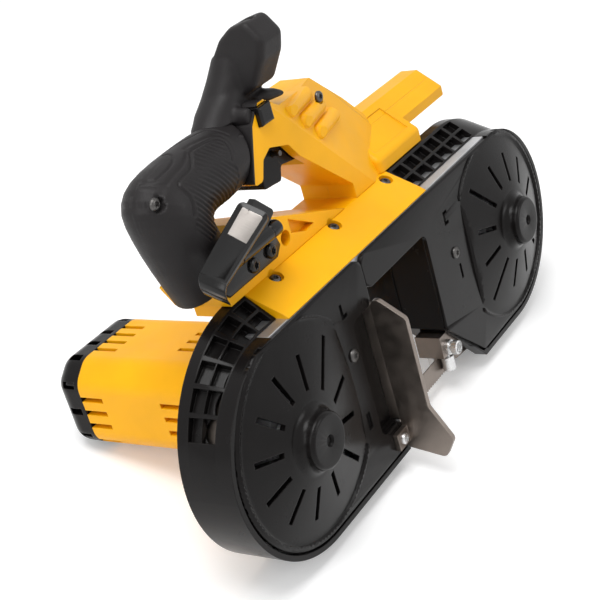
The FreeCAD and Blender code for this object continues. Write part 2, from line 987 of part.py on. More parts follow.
def slope_point(distance, end, mirrored):
    """The crown's front and rear edge points at a distance along the slope from the guard's end."""
    mean = (front_crown.value + rear_crown.value) / 2
    turn = math.pi / 2 + max(0, distance - end) / mean
    rows = []
    for crown, depth in ((front_crown, S.guard_slope_front), (rear_crown, S.guard_slope_rear)):
        middle = crown.value - guard_radius.value
        across = middle * math.sin(turn)
        reach = middle * math.cos(turn) + (crown.value ** 2 - across ** 2) ** 0.5
        x = max(0, end - distance) + reach * math.cos(turn)
        rows.append(V(cover_spacing.value - x if mirrored else x, depth.value, reach * math.sin(turn)))
    return rows


def waffle(name, end, mirrored):
    """Two rows of square pockets along the sloped crown."""
    cells = []
    pitch = S.waffle_pocket.value + S.waffle_rib.value
    for cell in range(WAFFLE_CELLS):
        centre = pitch * cell + S.waffle_rib.value + S.waffle_pocket.value / 2
        low, high = slope_point(centre, end, mirrored)
        before = slope_point(centre - pitch / 2, end, mirrored)[0]
        after = slope_point(centre + pitch / 2, end, mirrored)[0]
        up = (high - low).normalize()
        out = (after - before).cross(up) if mirrored else (before - after).cross(up)
        out = out.normalize()
        side = up.cross(out)
        turn = FreeCAD.Rotation(side, up, out, "ZXY")
        rib = ((high - low).Length - WAFFLE_ROWS * S.waffle_row.value) / (WAFFLE_ROWS + 1)
        for row in range(WAFFLE_ROWS):
            cell_box = doc.addObject("Part::Box", f"{name}_{cell}_{row}")
            bind(cell_box, "Length", S.waffle_pocket)
            bind(cell_box, "Width", S.waffle_row)
            bind(cell_box, "Height", S.waffle_depth + S.overrun)
            start = rib + row * (rib + S.waffle_row.value)
            corner = low + up * start - side * (S.waffle_pocket.value / 2) - out * S.waffle_depth.value
            cell_box.Placement = FreeCAD.Placement(corner, turn)
            cells.append(cell_box)
    return group(name, *cells)


def guard(name, paths, cavity, cells, *holes):
    """A guard from its front and rear outlines, hollow from the front."""
    front = flat_sketch(name + "_front", S.guard_slope_front, paths[0])
    rear = flat_sketch(name + "_rear", S.guard_slope_rear, paths[1])
    slope = doc.addObject("Part::Loft", name + "_slope")
    slope.Sections = [front, rear]
    slope.Solid = True
    slope.Ruled = True
    rim = prism(name + "_rim", front, ZERO, S.guard_slope_front)
    back = prism(name + "_back", rear, S.guard_depth - S.guard_slope_rear)
    hollow_sketch = flat_sketch(name + "_hollow_sketch", -S.overrun, cavity)
    hollow = prism(name + "_hollow", hollow_sketch, guard_floor + S.overrun)
    body = fuse(name + "_body", rim, slope, back)
    opened = cut(name + "_opened", body, hollow, *holes)
    return node(cut(name + "_ribbed", opened, cells), name)


def left_guard_path(crown):
    return left_rim(crown, ZERO, cheek_right) + [
        (S.cover_seam, S.throat_top_left),
        (S.cover_seam, guard_roof),
        (S.guard_left_end, guard_roof),
        (S.guard_left_end, crown),
    ]


def right_guard_path(crown):
    return [
        (S.guard_right_end, crown),
        (S.guard_right_end, guard_roof),
        (S.cover_seam, guard_roof),
        (S.cover_seam, S.throat_top_right),
    ] + right_rim(crown, ZERO)


guard_roof = strip_top
cheek_right = S.stop_x - S.guard_gap
strip_room = box("strip_room", (left_axis - S.guard_gap, right_axis + S.guard_gap),
                 (-S.overrun, frame_back + S.guard_gap), (strip_bottom - S.strip_thickness,
                                                          strip_top + S.guard_gap / 2))
shaft_hole = S.shaft_radius + S.shaft_clearance
band_middle = S.wheel_front + S.wheel_width / 2
band_slot_y = (band_middle - S.band_slot / 2, band_middle + S.band_slot / 2)
left_hollow = left_rim(front_crown, S.guard_wall, S.throat_left) + [
    (S.cover_seam + S.overrun, S.throat_top_left + S.guard_wall),
    (S.cover_seam + S.overrun, front_crown - S.guard_wall),
]
rabbet_radius = cover_radius + S.guard_gap
rabbet_top = cover_top + S.guard_gap
rabbet_reach = root(rabbet_radius * rabbet_radius - rabbet_top * rabbet_top)


def rabbet(name, path):
    """The step in a guard's front edge that its cover lies in."""
    return prism(name, flat_sketch(name + "_sketch", -S.overrun, path), S.cover_wall + S.overrun)


left_rabbet = rabbet("left_rabbet", [
    (S.cover_seam + S.overrun, rabbet_top),
    (-rabbet_reach, rabbet_top),
    Bend((ZERO, ZERO)),
    (ZERO, -rabbet_radius),
    (S.arm_end + S.overrun, -rabbet_radius),
    (S.arm_end + S.overrun, arm_top + S.overrun),
    (S.throat_left + S.overrun, arm_top + S.overrun),
    (S.throat_left + S.overrun, S.throat_top_left - S.overrun),
    (S.cover_seam + S.overrun, S.throat_top_left - S.overrun),
])
right_rabbet = rabbet("right_rabbet", [
    (S.cover_seam - S.overrun, S.throat_top_right - S.overrun),
    (S.throat_right - S.overrun, S.throat_top_right - S.overrun),
    (S.throat_right - S.overrun, S.notch_top - S.overrun),
    (S.notch_right - S.overrun, -rabbet_radius),
    (cover_spacing, -rabbet_radius),
    Bend((cover_spacing, ZERO)),
    (cover_spacing + rabbet_reach, rabbet_top),
    (S.cover_seam - S.overrun, rabbet_top),
])
left_guard = guard(
    "left_guard",
    [left_guard_path(front_crown), left_guard_path(rear_crown)],
    left_hollow,
    waffle("left_waffle", S.guard_left_end.value, False),
    strip_room,
    left_rabbet,
    box("cheek_recess", (S.throat_left, cheek_right + S.overrun), (-S.overrun, S.cheek_front),
        (arm_top, S.throat_top_left)),
    box("cheek_room", (S.throat_left - S.guard_wall * 2, cheek_right - S.guard_wall),
        (S.cheek_front + S.guard_wall, guard_floor), (arm_top + S.guard_wall,
                                                      S.throat_top_left - S.guard_wall)),
    box("left_band_slot", (S.arm_end - S.guard_wall * 2, S.arm_end + S.overrun), band_slot_y,
        (-guard_radius - S.overrun, arm_top - S.overrun)),
    rod("counter_hole", S.counter_radius + S.running_gap, (counter_x, guard_floor - S.overrun, counter_z),
        S.guard_wall + S.overrun * 2),
    rod("left_guard_hole", shaft_hole, (left_axis, ZERO, ZERO), S.guard_depth + S.overrun),
)
right_hollow = [
    (S.cover_seam - S.overrun, front_crown - S.guard_wall),
    (S.cover_seam - S.overrun, S.throat_top_right + S.guard_wall),
] + right_rim(front_crown, S.guard_wall)
right_guard = guard(
    "right_guard",
    [right_guard_path(front_crown), right_guard_path(rear_crown)],
    right_hollow,
    waffle("right_waffle", cover_spacing.value - S.guard_right_end.value, True),
    strip_room,
    right_rabbet,
    box("right_band_slot", (S.throat_right, S.notch_right + S.guard_wall * 3), band_slot_y,
        (-guard_radius - S.overrun, arm_top)),
    rod("right_guard_hole", S.lever_shaft_radius + S.running_gap, (cam_x, ZERO, ZERO),
        S.guard_depth + S.overrun),
)


# Wheels with rubber tyres, and their shafts and bearings

def wheel(name, axis_x):
    body = new_body(name)
    profile = sketch_on(body, name + "_profile", "xy", ZERO, (axis_x, ZERO))
    web_front = S.wheel_front + (S.wheel_width - S.wheel_web) / 2
    web_back = web_front + S.wheel_web
    rim = wheel_radius - S.wheel_rim
    draw(profile, [
        (S.shaft_radius, S.wheel_front),
        (S.wheel_hub_radius, S.wheel_front),
        (S.wheel_hub_radius, web_front),
        (rim, web_front),
        (rim, S.wheel_front),
        (wheel_radius, S.wheel_front),
        (wheel_radius, wheel_back),
        (rim, wheel_back),
        (rim, web_back),
        (S.wheel_hub_radius, web_back),
        (S.wheel_hub_radius, wheel_back),
        (S.shaft_radius, wheel_back),
    ])
    turned = body.newObject("PartDesign::Revolution", name + "_turned")
    turned.Profile = profile
    turned.ReferenceAxis = (profile, ["V_Axis"])
    hole_sketch = sketch_on(body, name + "_hole_sketch", "xz", web_front, (axis_x, ZERO))
    circle = Part.Circle(V(0, number(hole_ring), 0), V(0, 0, 1), number(S.wheel_hole_radius))
    hole_sketch.addGeometry(circle)
    hole_sketch.addConstraint(Sketcher.Constraint("PointOnObject", 0, CENTRE, -2))
    for kind, size in (("DistanceY", hole_ring), ("Radius", S.wheel_hole_radius)):
        pair = (kind, -1, 1, 0, CENTRE) if kind == "DistanceY" else (kind, 0)
        index = hole_sketch.addConstraint(Sketcher.Constraint(*pair, number(size)))
        hole_sketch.setExpression(f"Constraints[{index}]", formula(size))
    hole = body.newObject("PartDesign::Pocket", name + "_hole")
    hole.Profile = hole_sketch
    bind(hole, "Length", S.wheel_web)
    ring = body.newObject("PartDesign::PolarPattern", name + "_holes")
    ring.Originals = [hole]
    ring.Axis = (hole_sketch, ["N_Axis"])
    ring.Angle = 360
    ring.Occurrences = WHEEL_HOLES
    body.Tip = ring
    return node(body, name)


hole_ring = (S.wheel_hub_radius + wheel_radius - S.wheel_rim) / 2
drive_wheel = wheel("drive_wheel", left_axis)
idler_wheel = wheel("idler_wheel", right_axis)
for tyre_name, tyre_x in (("drive_tyre", left_axis), ("idler_tyre", right_axis)):
    tyre = tube(tyre_name, tyre_radius, wheel_radius, (tyre_x, S.wheel_front, ZERO), S.wheel_width)
    node(tyre, tyre_name)

shaft_front = S.wheel_front - S.hub_nut_height
drive_gear_back = S.gear_front + S.gear_width
node(rod("drive_shaft", S.shaft_radius, (left_axis, shaft_front, ZERO), drive_gear_back - shaft_front),
     "drive_shaft")
node(tube("drive_bearing", bearing_radius, S.shaft_radius + S.running_gap,
          (left_axis, S.frame_front, ZERO), S.bearing_width), "drive_bearing")
node(tube("drive_nut", S.hub_nut_radius, S.shaft_radius, (left_axis, shaft_front, ZERO),
          S.hub_nut_height - S.guard_gap), "drive_nut")


# Tension: the idler's shaft stands on a slide that disc springs push out and a cam draws back

slide_block = box("slide_block", (slide_left, slide_right), (S.frame_front, frame_back),
                  (-S.slide_half_z, S.slide_half_z))
idler_length = S.frame_front - shaft_front
idler_shaft = rod("idler_shaft_rod", S.shaft_radius - S.running_gap, (right_axis, shaft_front, ZERO),
                  idler_length)
node(slide_block, "tension_slide")
node(idler_shaft, "idler_shaft")
node(tube("idler_washer", S.wheel_hub_radius, S.shaft_radius, (right_axis, wheel_back + S.guard_gap, ZERO),
          S.frame_front - wheel_back - S.guard_gap * 2), "idler_washer")
disc_pitch = S.disc_thickness + S.disc_cup
discs = []
for index in range(DISC_SPRINGS):
    start = slide_left - disc_pitch * (index + 1) + S.disc_cup
    if index % 2 == 0:
        wide, narrow = S.disc_outer, S.disc_outer - S.disc_cup
    else:
        wide, narrow = S.disc_outer - S.disc_cup, S.disc_outer
    plate = cone(f"disc_{index}", narrow, wide, (start, (S.frame_front + frame_back) / 2, ZERO),
                 S.disc_thickness, "x")
    discs.append(plate)
disc_trim = box("disc_trim", (window_left, slide_left), (S.frame_front, frame_back),
                (-S.slide_half_z, S.slide_half_z))
node(common("disc_springs", group("disc_stack", *discs), disc_trim), "disc_springs")
cam_disc = rod("cam_disc", S.cam_radius, (cam_x + S.cam_throw, S.frame_front, ZERO),
               S.frame_plate - S.slide_gap)
cam_pin = rod("cam_pin", S.lever_shaft_radius, (cam_x, S.frame_front, ZERO),
              S.guard_depth + S.slide_gap * 2 - S.frame_front)
node(fuse("tension_cam", cam_disc, cam_pin), "tension_cam")
lever_front = S.guard_depth + S.slide_gap * 2
lever_boss = rod("lever_boss_rod", S.lever_boss, (cam_x, lever_front, ZERO), S.lever_thickness + S.lever_rise)
lever_body = new_body("lever_body")
lever_half = S.lever_width / 2
lever_arm = pad(lever_body, "lever_arm", "xz",
                (lever_front + S.lever_rise, lever_front + S.lever_rise + S.lever_thickness), [
    (cam_x + S.lever_boss / 2, -lever_half),
    (cam_x + S.lever_boss / 2, lever_half),
    (cam_x - S.lever_length, lever_half * LEVER_TAPER_SHARE),
    (cam_x - S.lever_length, -lever_half * LEVER_TAPER_SHARE),
])
round_edges(lever_body, "lever_tip", lever_arm, lever_half * LEVER_TAPER_SHARE - S.guard_gap, along(Y_AXIS))
node(fuse("tension_lever", lever_boss, lever_body), "tension_lever")


# Gears: the motor's pinion turns a cluster on a countershaft, which turns the wheel's own gear

def spur_gear(name, teeth, centre, front, phase, bore):
    """A straight-cut gear with trapezium teeth, one tooth pointing at the phase angle."""
    pitch = gear_radius(teeth).value
    tip = pitch + S.gear_module.value * TOOTH_TIP_SHARE
    foot = pitch - S.gear_module.value * TOOTH_FOOT_SHARE
    step = 2 * math.pi / teeth
    middle = V(centre[0].value, front.value, centre[1].value)
    points = []
    for tooth in range(teeth):
        for radius, share in ((foot, -FOOT_WIDTH_SHARE), (tip, -TIP_WIDTH_SHARE), (tip, TIP_WIDTH_SHARE),
                              (foot, FOOT_WIDTH_SHARE)):
            turn = phase + step * (tooth + share)
            points.append(middle + V(radius * math.cos(turn), 0, radius * math.sin(turn)))
    outline = Part.Face(Part.makePolygon(points + points[:1]))
    solid = outline.extrude(Y_AXIS * S.gear_width.value)
    hole = Part.makeCylinder(bore.value, S.gear_width.value, middle, Y_AXIS)
    obj = doc.addObject("Part::Feature", name)
    obj.Shape = solid.cut(hole)
    return obj


first_front = drive_gear_back + S.gear_gap


def bearing_angle(start, end):
    return math.atan2(end[1].value - start[1].value, end[0].value - start[0].value)


to_counter = bearing_angle((left_axis, ZERO), counter_axis)
from_motor = bearing_angle(motor_axis, counter_axis)
node(spur_gear("drive_gear", DRIVE_GEAR_TEETH, (left_axis, ZERO), S.gear_front, to_counter, S.shaft_radius),
     "drive_gear")
second_phase = to_counter + math.pi + math.pi / SECOND_PINION_TEETH
node(spur_gear("counter_pinion", SECOND_PINION_TEETH, counter_axis, S.gear_front, second_phase,
               S.counter_radius), "counter_pinion")
first_phase = from_motor + math.pi + math.pi / FIRST_GEAR_TEETH
node(spur_gear("counter_gear", FIRST_GEAR_TEETH, counter_axis, first_front, first_phase, S.counter_radius),
     "counter_gear")
node(spur_gear("motor_pinion", PINION_TEETH, motor_axis, first_front, from_motor, S.motor_shaft_radius),
     "motor_pinion")
counter_back = first_front + S.gear_width + S.gear_gap
counter_start = guard_floor + S.guard_gap
counter_length = counter_back + S.gear_case_wall - S.guard_gap - counter_start
node(rod("counter_shaft", S.counter_radius, (counter_x, counter_start, counter_z), counter_length),
     "counter_shaft")


# Motor: a long rounded octagon with vents, closed by a black end cap

def octagon(shrink):
    """The motor's outline with its four corners cut off."""
    wide = S.motor_half_width - shrink
    high = S.motor_half_height - shrink
    flat_x = wide - S.motor_corner_x
    flat_z = high - S.motor_corner_z
    x, z = motor_axis
    return [
        (x + wide, z - flat_z),
        (x + wide, z + flat_z),
        (x + flat_x, z + high),
        (x - flat_x, z + high),
        (x - wide, z + flat_z),
        (x - wide, z - flat_z),
        (x - flat_x, z - high),
        (x + flat_x, z - high),
    ]


def vent_rows(name, front, rows):
    """Rows of slots along the motor, each row at an angle round it."""
    slots = []
    for angle, count in rows:
        for index in range(count):
            offset = S.vent_pitch * (index - (count - 1) / 2)
            slots.append(spoke(f"{name}_{angle}_{index}", motor_axis, angle,
                               (S.motor_bore - S.motor_wall, S.motor_half_width + S.motor_wall),
                               (front, front + S.vent_length), offset, S.vent_width))
    return slots


case_back = counter_back + S.gear_case_wall
bearing_end = case_back + S.bearing_width
motor_body = new_body("motor_body")
motor_pad = pad(motor_body, "motor_pad", "xz", (case_back, S.motor_end), octagon(ZERO))
round_edges(motor_body, "motor_corners", motor_pad, S.motor_round, along(Y_AXIS))
motor_bearing_radius = S.motor_shaft_radius + S.bearing_wall
motor_room = rod("motor_room", S.motor_bore, (S.motor_x, bearing_end, S.motor_z), S.motor_end - bearing_end)
motor_seat = rod("motor_seat", motor_bearing_radius, (S.motor_x, case_back, S.motor_z), S.bearing_width)
front_vents = vent_rows("front_vent", S.vent_front, FRONT_VENT_ROWS)
rear_vents = vent_rows("rear_vent", S.motor_end - S.vent_length, REAR_VENT_ROWS)
node(cut("motor_housing", motor_body, motor_room, motor_seat, *front_vents, *rear_vents), "motor_housing")

cap_body = new_body("cap_body")
cap_pad = pad(cap_body, "cap_pad", "xz", (S.motor_end, S.cap_end), octagon(ZERO))
cap_side = round_edges(cap_body, "cap_corners", cap_pad, S.motor_round, along(Y_AXIS))


def at_depth(depth):
    """A test for edges that lie at one depth."""
    def test(edge):
        span = edge.BoundBox
        return abs(span.YMin - depth.value) < EDGE_TOLERANCE and abs(span.YMax - depth.value) < EDGE_TOLERANCE
    return test


round_edges(cap_body, "cap_rim", cap_side, S.cap_round, at_depth(S.cap_end))
cap_floor = S.cap_end - S.cap_lip * 2
cap_room = tube("cap_room", S.motor_bore - S.motor_wall, motor_bearing_radius + S.motor_wall,
                (S.motor_x, S.motor_end, S.motor_z), cap_floor - S.motor_end)
rear_seat = rod("rear_seat", motor_bearing_radius, (S.motor_x, S.motor_end, S.motor_z), S.bearing_width)
shaft_room = rod("shaft_room", S.motor_shaft_radius + S.shaft_clearance, (S.motor_x, S.motor_end, S.motor_z),
                 S.bearing_width + S.cap_lip)
cap_vents = []
for index in range(CAP_VENTS):
    cap_vents.append(spoke(f"cap_vent_{index}", motor_axis, 360 / CAP_VENTS * index,
                           (S.motor_bore - S.motor_wall * 2, S.motor_half_width + S.motor_wall),
                           (S.motor_end + S.cap_lip, S.motor_end + S.cap_lip + S.cap_vent_depth),
                           ZERO, S.cap_vent_width))
node(cut("motor_end_cap", cap_body, cap_room, rear_seat, shaft_room, *cap_vents), "motor_end_cap")

node(tube("front_motor_bearing", motor_bearing_radius, S.motor_shaft_radius + S.running_gap,
          (S.motor_x, case_back, S.motor_z), S.bearing_width), "front_motor_bearing")
node(tube("rear_motor_bearing", motor_bearing_radius, S.motor_shaft_radius + S.running_gap,
          (S.motor_x, S.motor_end, S.motor_z), S.bearing_width), "rear_motor_bearing")
shaft_length = S.motor_end + S.bearing_width - first_front
node(rod("motor_shaft", S.motor_shaft_radius, (S.motor_x, first_front, S.motor_z), shaft_length),
     "motor_shaft")
stator_ring = tube("stator_ring", S.motor_bore, S.stator_inner, (S.motor_x, S.stator_front, S.motor_z),
                   S.stator_length)
stator_slots = [spoke(f"stator_slot_{index}", motor_axis, 360 / STATOR_SLOTS * index,
                      (S.stator_inner - S.overrun, S.motor_bore - S.motor_wall),
                      (S.stator_front, S.stator_front + S.stator_length), ZERO, S.stator_slot)
                for index in range(STATOR_SLOTS)]
node(cut("stator", stator_ring, *stator_slots), "stator")
node(tube("rotor", S.stator_inner - S.rotor_gap, S.motor_shaft_radius, (S.motor_x, S.stator_front, S.motor_z),
          S.stator_length), "rotor")
fan_hub = S.motor_shaft_radius + S.motor_wall
fan_blades = [spoke(f"fan_blade_{index}", motor_axis, 360 / FAN_BLADES * index,
                    (fan_hub - S.fan_blade, S.fan_radius),
                    (S.fan_front,
                     S.fan_front + S.fan_width), ZERO, S.fan_blade) for index in range(FAN_BLADES)]
fan_disc = rod("fan_disc", S.fan_radius, (S.motor_x, S.fan_front + S.fan_width, S.motor_z), S.fan_blade)
fan_boss = rod("fan_boss", fan_hub, (S.motor_x, S.fan_front, S.motor_z), S.fan_width)
fan_bore = rod("fan_bore", S.motor_shaft_radius, (S.motor_x, S.fan_front, S.motor_z),
               S.fan_width + S.fan_blade)
node(cut("motor_fan", fuse("fan_whole", fan_disc, fan_boss, *fan_blades), fan_bore), "motor_fan")


# Gear case: a yellow cup between the left guard and the motor

def gear_room(teeth):
    return gear_radius(teeth) + S.gear_module + S.gear_tip_room


case_front = S.guard_depth
drive_room = gear_room(DRIVE_GEAR_TEETH)
first_room = gear_room(FIRST_GEAR_TEETH)
case_length = case_back - case_front
case_depth = counter_back - case_front
neck_body = new_body("neck_body")
neck_pad = pad(neck_body, "neck_pad", "xz", (case_front, case_back), octagon(ZERO))
round_edges(neck_body, "neck_corners", neck_pad, S.motor_round, along(Y_AXIS))
case_whole = fuse(
    "case_whole",
    rod("case_drive", drive_room + S.gear_case_wall, (left_axis, case_front, ZERO), case_length),
    rod("case_counter", first_room + S.gear_case_wall, (counter_x, case_front, counter_z), case_length),
    neck_body,
)
pinion_room = gear_room(PINION_TEETH)
gear_case = cut(
    "gear_case",
    case_whole,
    rod("drive_room", drive_room, (left_axis, case_front, ZERO), case_depth),
    rod("counter_room", first_room, (counter_x, case_front, counter_z), case_depth),
    rod("pinion_room", pinion_room, (S.motor_x, case_front, S.motor_z), case_depth),
    rod("counter_seat", S.counter_radius + S.running_gap, (counter_x, case_front, counter_z), case_length),
    rod("motor_pass", motor_bearing_radius - S.motor_wall, (S.motor_x, case_front, S.motor_z), case_length),
)
node(gear_case, "gear_case")


# Handle: a black rubber grip and leg between yellow shells that split along the middle

mid = S.handle_mid


def between_rows(rows, steps):
    """Rows of numbers with smooth rows put in between."""
    smooth = []
    for index in range(len(rows) - 1):
        before, start = rows[max(0, index - 1)], rows[index]
        end, after = rows[index + 1], rows[min(len(rows) - 1, index + 2)]
        for step in range(steps):
            t = step / steps
            weights = (-t ** 3 + 2 * t ** 2 - t, 3 * t ** 3 - 5 * t ** 2 + 2,
                       -3 * t ** 3 + 4 * t ** 2 + t, t ** 3 - t ** 2)
            near = zip(before, start, end, after)
            smooth.append([sum(w * v for w, v in zip(weights, values)) / 2 for values in near])
    return smooth + [rows[-1]]


def grip_section(name, inner_x, inner_z, outer_x, outer_z, side_share):
    """An oval of the grip between its inner and outer points."""
    wide = S.grip_reach * (outer_x - inner_x)
    high = S.grip_drop * (outer_z - inner_z)
    oval = doc.addObject("Part::Ellipse", name)
    bind(oval, "MajorRadius", root(wide * wide + high * high) / 2)
    bind(oval, "MinorRadius", S.grip_side * side_share)
    turn = math.degrees(math.atan2(high.value, wide.value))
    oval.Placement.Rotation = FreeCAD.Rotation(Y_AXIS, -turn)
    middle_x = (inner_x + outer_x) / 2
    middle_z = (inner_z + outer_z) / 2
    locate(oval, S.grip_front + S.grip_reach * middle_x, mid, S.grip_z + S.grip_drop * middle_z)
    return oval


grip_rows = between_rows([(*inner, *outer, side) for inner, outer, side in GRIP_SHARES], GRIP_STEPS)
grip_ovals = [grip_section(f"grip_{index}", *row) for index, row in enumerate(grip_rows)]
grip_spans = []
for index in range(0, len(grip_ovals) - 1, GRIP_STEPS):
    span = doc.addObject("Part::Loft", f"grip_span_{index}")
    span.Sections = grip_ovals[index:index + GRIP_STEPS + 1]
    span.Solid = True
    span.Ruled = True
    grip_spans.append(span)
grip_run = fuse("grip_run", *grip_spans)
grip_screw_hole = rod("grip_screw_hole", S.screw_recess,
                      (S.grip_screw_x, handle_front - S.overrun, S.grip_screw_z),
                      S.screw_depth + S.overrun)
rear_grip = cut("rear_grip_form", grip_run, grip_screw_hole)
node(group("rear_grip_node", rear_grip), "rear_grip")

housing_body = new_body("housing_body")
housing_pad = pad(housing_body, "housing_pad", "xz", (handle_front, handle_back), [
    (S.housing_left + S.housing_slant, S.housing_top),
    (S.housing_left, S.housing_top - S.housing_slant),
    (S.strip_left, S.strip_low),
    (S.strip_right, S.strip_low),
    (S.arch_left_x, S.arch_left_z),
    (S.arch_crown_x, S.arch_crown_z),
    (S.arch_right_x, S.arch_right_z),
    (S.column_top_x, S.column_top_z),
    (S.column_foot_x, S.column_foot_z),
    (S.column_foot_x, beam_top),
    (S.slope_end_x, beam_top),
    (S.slope_end_x, S.slope_end_z),
    (S.slope_mid_x, S.slope_mid_z),
    (S.boss_x, S.housing_shoulder_z),
    (S.housing_shoulder_x, S.housing_shoulder_z),
    (S.brow_low_x, S.brow_low_z),
    (S.brow_x, S.housing_top),
])


def upright_edge(edge):
    return along(Y_AXIS)(edge) and S.column_foot_z.value - EDGE_TOLERANCE < edge.BoundBox.ZMin


round_edges(housing_body, "housing_corners", housing_pad, S.shell_round, upright_edge)

# The housing's front folds back along a slanted line, and three ribs lie across the fold
fold_run = V(math.cos(math.radians(FOLD_RUN)), 0, -math.sin(math.radians(FOLD_RUN)))
fold_side = V(math.sin(math.radians(FOLD_RUN)), 0, math.cos(math.radians(FOLD_RUN)))
tilt = math.radians(FOLD_TILT)
fold_out = fold_side * math.sin(tilt) - Y_AXIS * math.cos(tilt)
fold_across = fold_side * math.cos(tilt) + Y_AXIS * math.sin(tilt)
rib_run = (fold_run + fold_across).normalize()
fold = doc.addObject("Part::Box", "fold")
bind(fold, "Length", S.fold_length)
bind(fold, "Width", S.fold_reach)
bind(fold, "Height", S.handle_half * 2)
fold.Placement.Rotation = FreeCAD.Rotation(fold_run, fold_across, fold_out, "ZXY")
locate(fold, S.fold_x - S.fold_lead * fold_run.x, handle_front, S.fold_z - S.fold_lead * fold_run.z)
ribs = []
for index in range(HOUSING_RIBS):
    step = S.rib_step * index
    start = (S.rib_x + step * fold_run.x, S.rib_y, S.rib_z + step * fold_run.z)
    rib_bar = doc.addObject("Part::Cylinder", f"housing_rib_{index}")
    bind(rib_bar, "Radius", S.rib_radius)
    bind(rib_bar, "Height", S.rib_length)
    rib_bar.Placement.Rotation = FreeCAD.Rotation(Z_AXIS, rib_run)
    locate(rib_bar, *start)
    ribs += [rib_bar, ball(f"housing_rib_end_{index}", S.rib_radius, start)]
rib_trim = box("rib_trim", (S.fold_x, S.slope_end_x), (handle_front, mid), (beam_top, S.housing_shoulder_z))
housing = fuse("housing", cut("housing_folded", housing_body, fold),
               common("housing_ribs", fuse("rib_stack", *ribs), rib_trim))

foot_body = new_body("foot_body")
pad(foot_body, "foot_pad", "xz", (handle_front, handle_back), [
    (S.foot_left, beam_top),
    (S.foot_right, beam_top),
    (S.foot_shoulder_x, S.foot_shoulder_z),
    (S.foot_inner_x, S.foot_inner_z),
    (S.foot_outer_x, S.foot_outer_z),
])
pocket(foot_body, "foot_recess", "xz", (handle_front, handle_front + S.recess_depth), [
    (S.recess_left, S.recess_low + S.recess_fall),
    (S.recess_right - S.recess_rise, S.recess_low),
    (S.recess_right, S.recess_low + S.recess_fall - S.recess_rise / 2),
    (S.recess_left, S.recess_low + S.recess_fall + S.recess_rise),
])
beam_left = S.guard_left_end + S.guard_gap
beam_right = S.guard_right_end - S.guard_gap
beam_body = new_body("beam_body")
beam_pad = pad(beam_body, "beam_pad", "yz", (beam_left, beam_right), [
    (S.beam_toe, strip_top),
    (handle_back, strip_top),
    (handle_back, beam_top),
    (S.beam_edge, beam_top),
    (S.beam_lip_front, beam_lip_top),
    (S.beam_toe, beam_toe_top),
])


def beam_shoulder(edge):
    """A test for the long edge where the beam's slope meets its top."""
    middle = edge.BoundBox.Center
    flush = abs(middle.y - S.beam_edge.value) < EDGE_TOLERANCE
    level = abs(middle.z - beam_top.value) < EDGE_TOLERANCE
    return flush and level and along(X_AXIS)(edge)


round_edges(beam_body, "beam_shoulder_round", beam_pad, S.beam_round, beam_shoulder)
tower_body = new_body("tower_body")
tower_foot = rear_crown + S.guard_gap * 2
tower_pad = pad(tower_body, "tower_pad", "yz", (S.tower_left, S.tower_step), [
    (S.beam_edge, tower_foot),
    (handle_back, tower_foot),
    (handle_back, S.tower_crest_top),
    (S.tower_crest, S.tower_crest_top),
    (S.beam_edge, S.tower_front_top),
])


def tower_edge(edge):
    """A test for the tower's left end and the lower edge of its slope."""
    span = edge.BoundBox
    at_left = abs(span.XMax - S.tower_left.value) < EDGE_TOLERANCE
    low = span.ZMax < tower_foot.value + EDGE_TOLERANCE
    back = span.YMin > S.tower_crest.value - EDGE_TOLERANCE
    brow = abs(span.Center.y - S.beam_edge.value) < EDGE_TOLERANCE and along(X_AXIS)(edge) and not low
    return brow or (at_left and not low and not back)


round_edges(tower_body, "tower_soft", tower_pad, S.tower_round, tower_edge)
tower_run = S.tower_crest - S.beam_edge
tower_rise = S.tower_crest_top - S.tower_front_top
tower_slope = math.degrees(math.atan2(tower_rise.value, tower_run.value))
panel = doc.addObject("Part::Box", "panel")
panel_out = (-math.sin(math.radians(tower_slope)), math.cos(math.radians(tower_slope)))
panel_along = (panel_out[1], -panel_out[0])
bind(panel, "Length", S.tower_step - S.tower_left - S.panel_inset * 2)
bind(panel, "Width", root(tower_run * tower_run + tower_rise * tower_rise) - S.panel_inset * 2)
bind(panel, "Height", S.panel_depth + S.overrun)
panel.Placement.Rotation = FreeCAD.Rotation(X_AXIS, tower_slope)
locate(panel, S.tower_left + S.panel_inset,
       S.beam_edge + S.panel_inset * panel_along[0] - S.panel_depth * panel_out[0],
       S.tower_front_top + S.panel_inset * panel_along[1] - S.panel_depth * panel_out[1])
tower = cut("tower", tower_body, panel)
nose_body = new_body("nose_body")
nose_pad = pad(nose_body, "nose_pad", "yz", (S.tower_step, S.tower_right), [
    (S.arm_front, S.arm_under),
    (handle_back, S.arm_back_under),
    (handle_back, S.tower_crest_top),
    (S.tower_crest, S.tower_crest_top),
    (S.arm_front, S.arm_front_top),
])


def nose_end(edge):
    span = edge.BoundBox
    at_end = abs(span.XMin - S.tower_right.value) < EDGE_TOLERANCE
    return at_end and span.YMin < handle_back.value - EDGE_TOLERANCE


round_edges(nose_body, "nose_round", nose_pad, S.tower_round, nose_end)

bay_half = S.trigger_width / 2 + S.trigger_room
trigger_bay = box("trigger_bay", (S.trigger_bay_left, S.trigger_bay_right), (mid - bay_half, mid + bay_half),
                  (S.trigger_bay_low, S.trigger_bay_top))
lock_half = S.lock_side / 2
lock_rise = S.lock_height / 2
lock_hole = box("lock_hole", (S.lock_x - lock_half - S.slide_gap, S.lock_x + lock_half + S.slide_gap),
                (handle_front - S.overrun, handle_front + S.lock_inside + S.lock_travel + S.slide_gap),
                (S.lock_z - lock_rise - S.slide_gap, S.lock_z + lock_rise + S.slide_gap))
beam_rise = beam_top - beam_lip_top
beam_run = S.beam_edge - S.beam_lip_front
beam_slope = math.degrees(math.atan2(beam_rise.value, beam_run.value))
screw_lift = (S.beam_screw_y - S.beam_lip_front) * beam_rise / beam_run


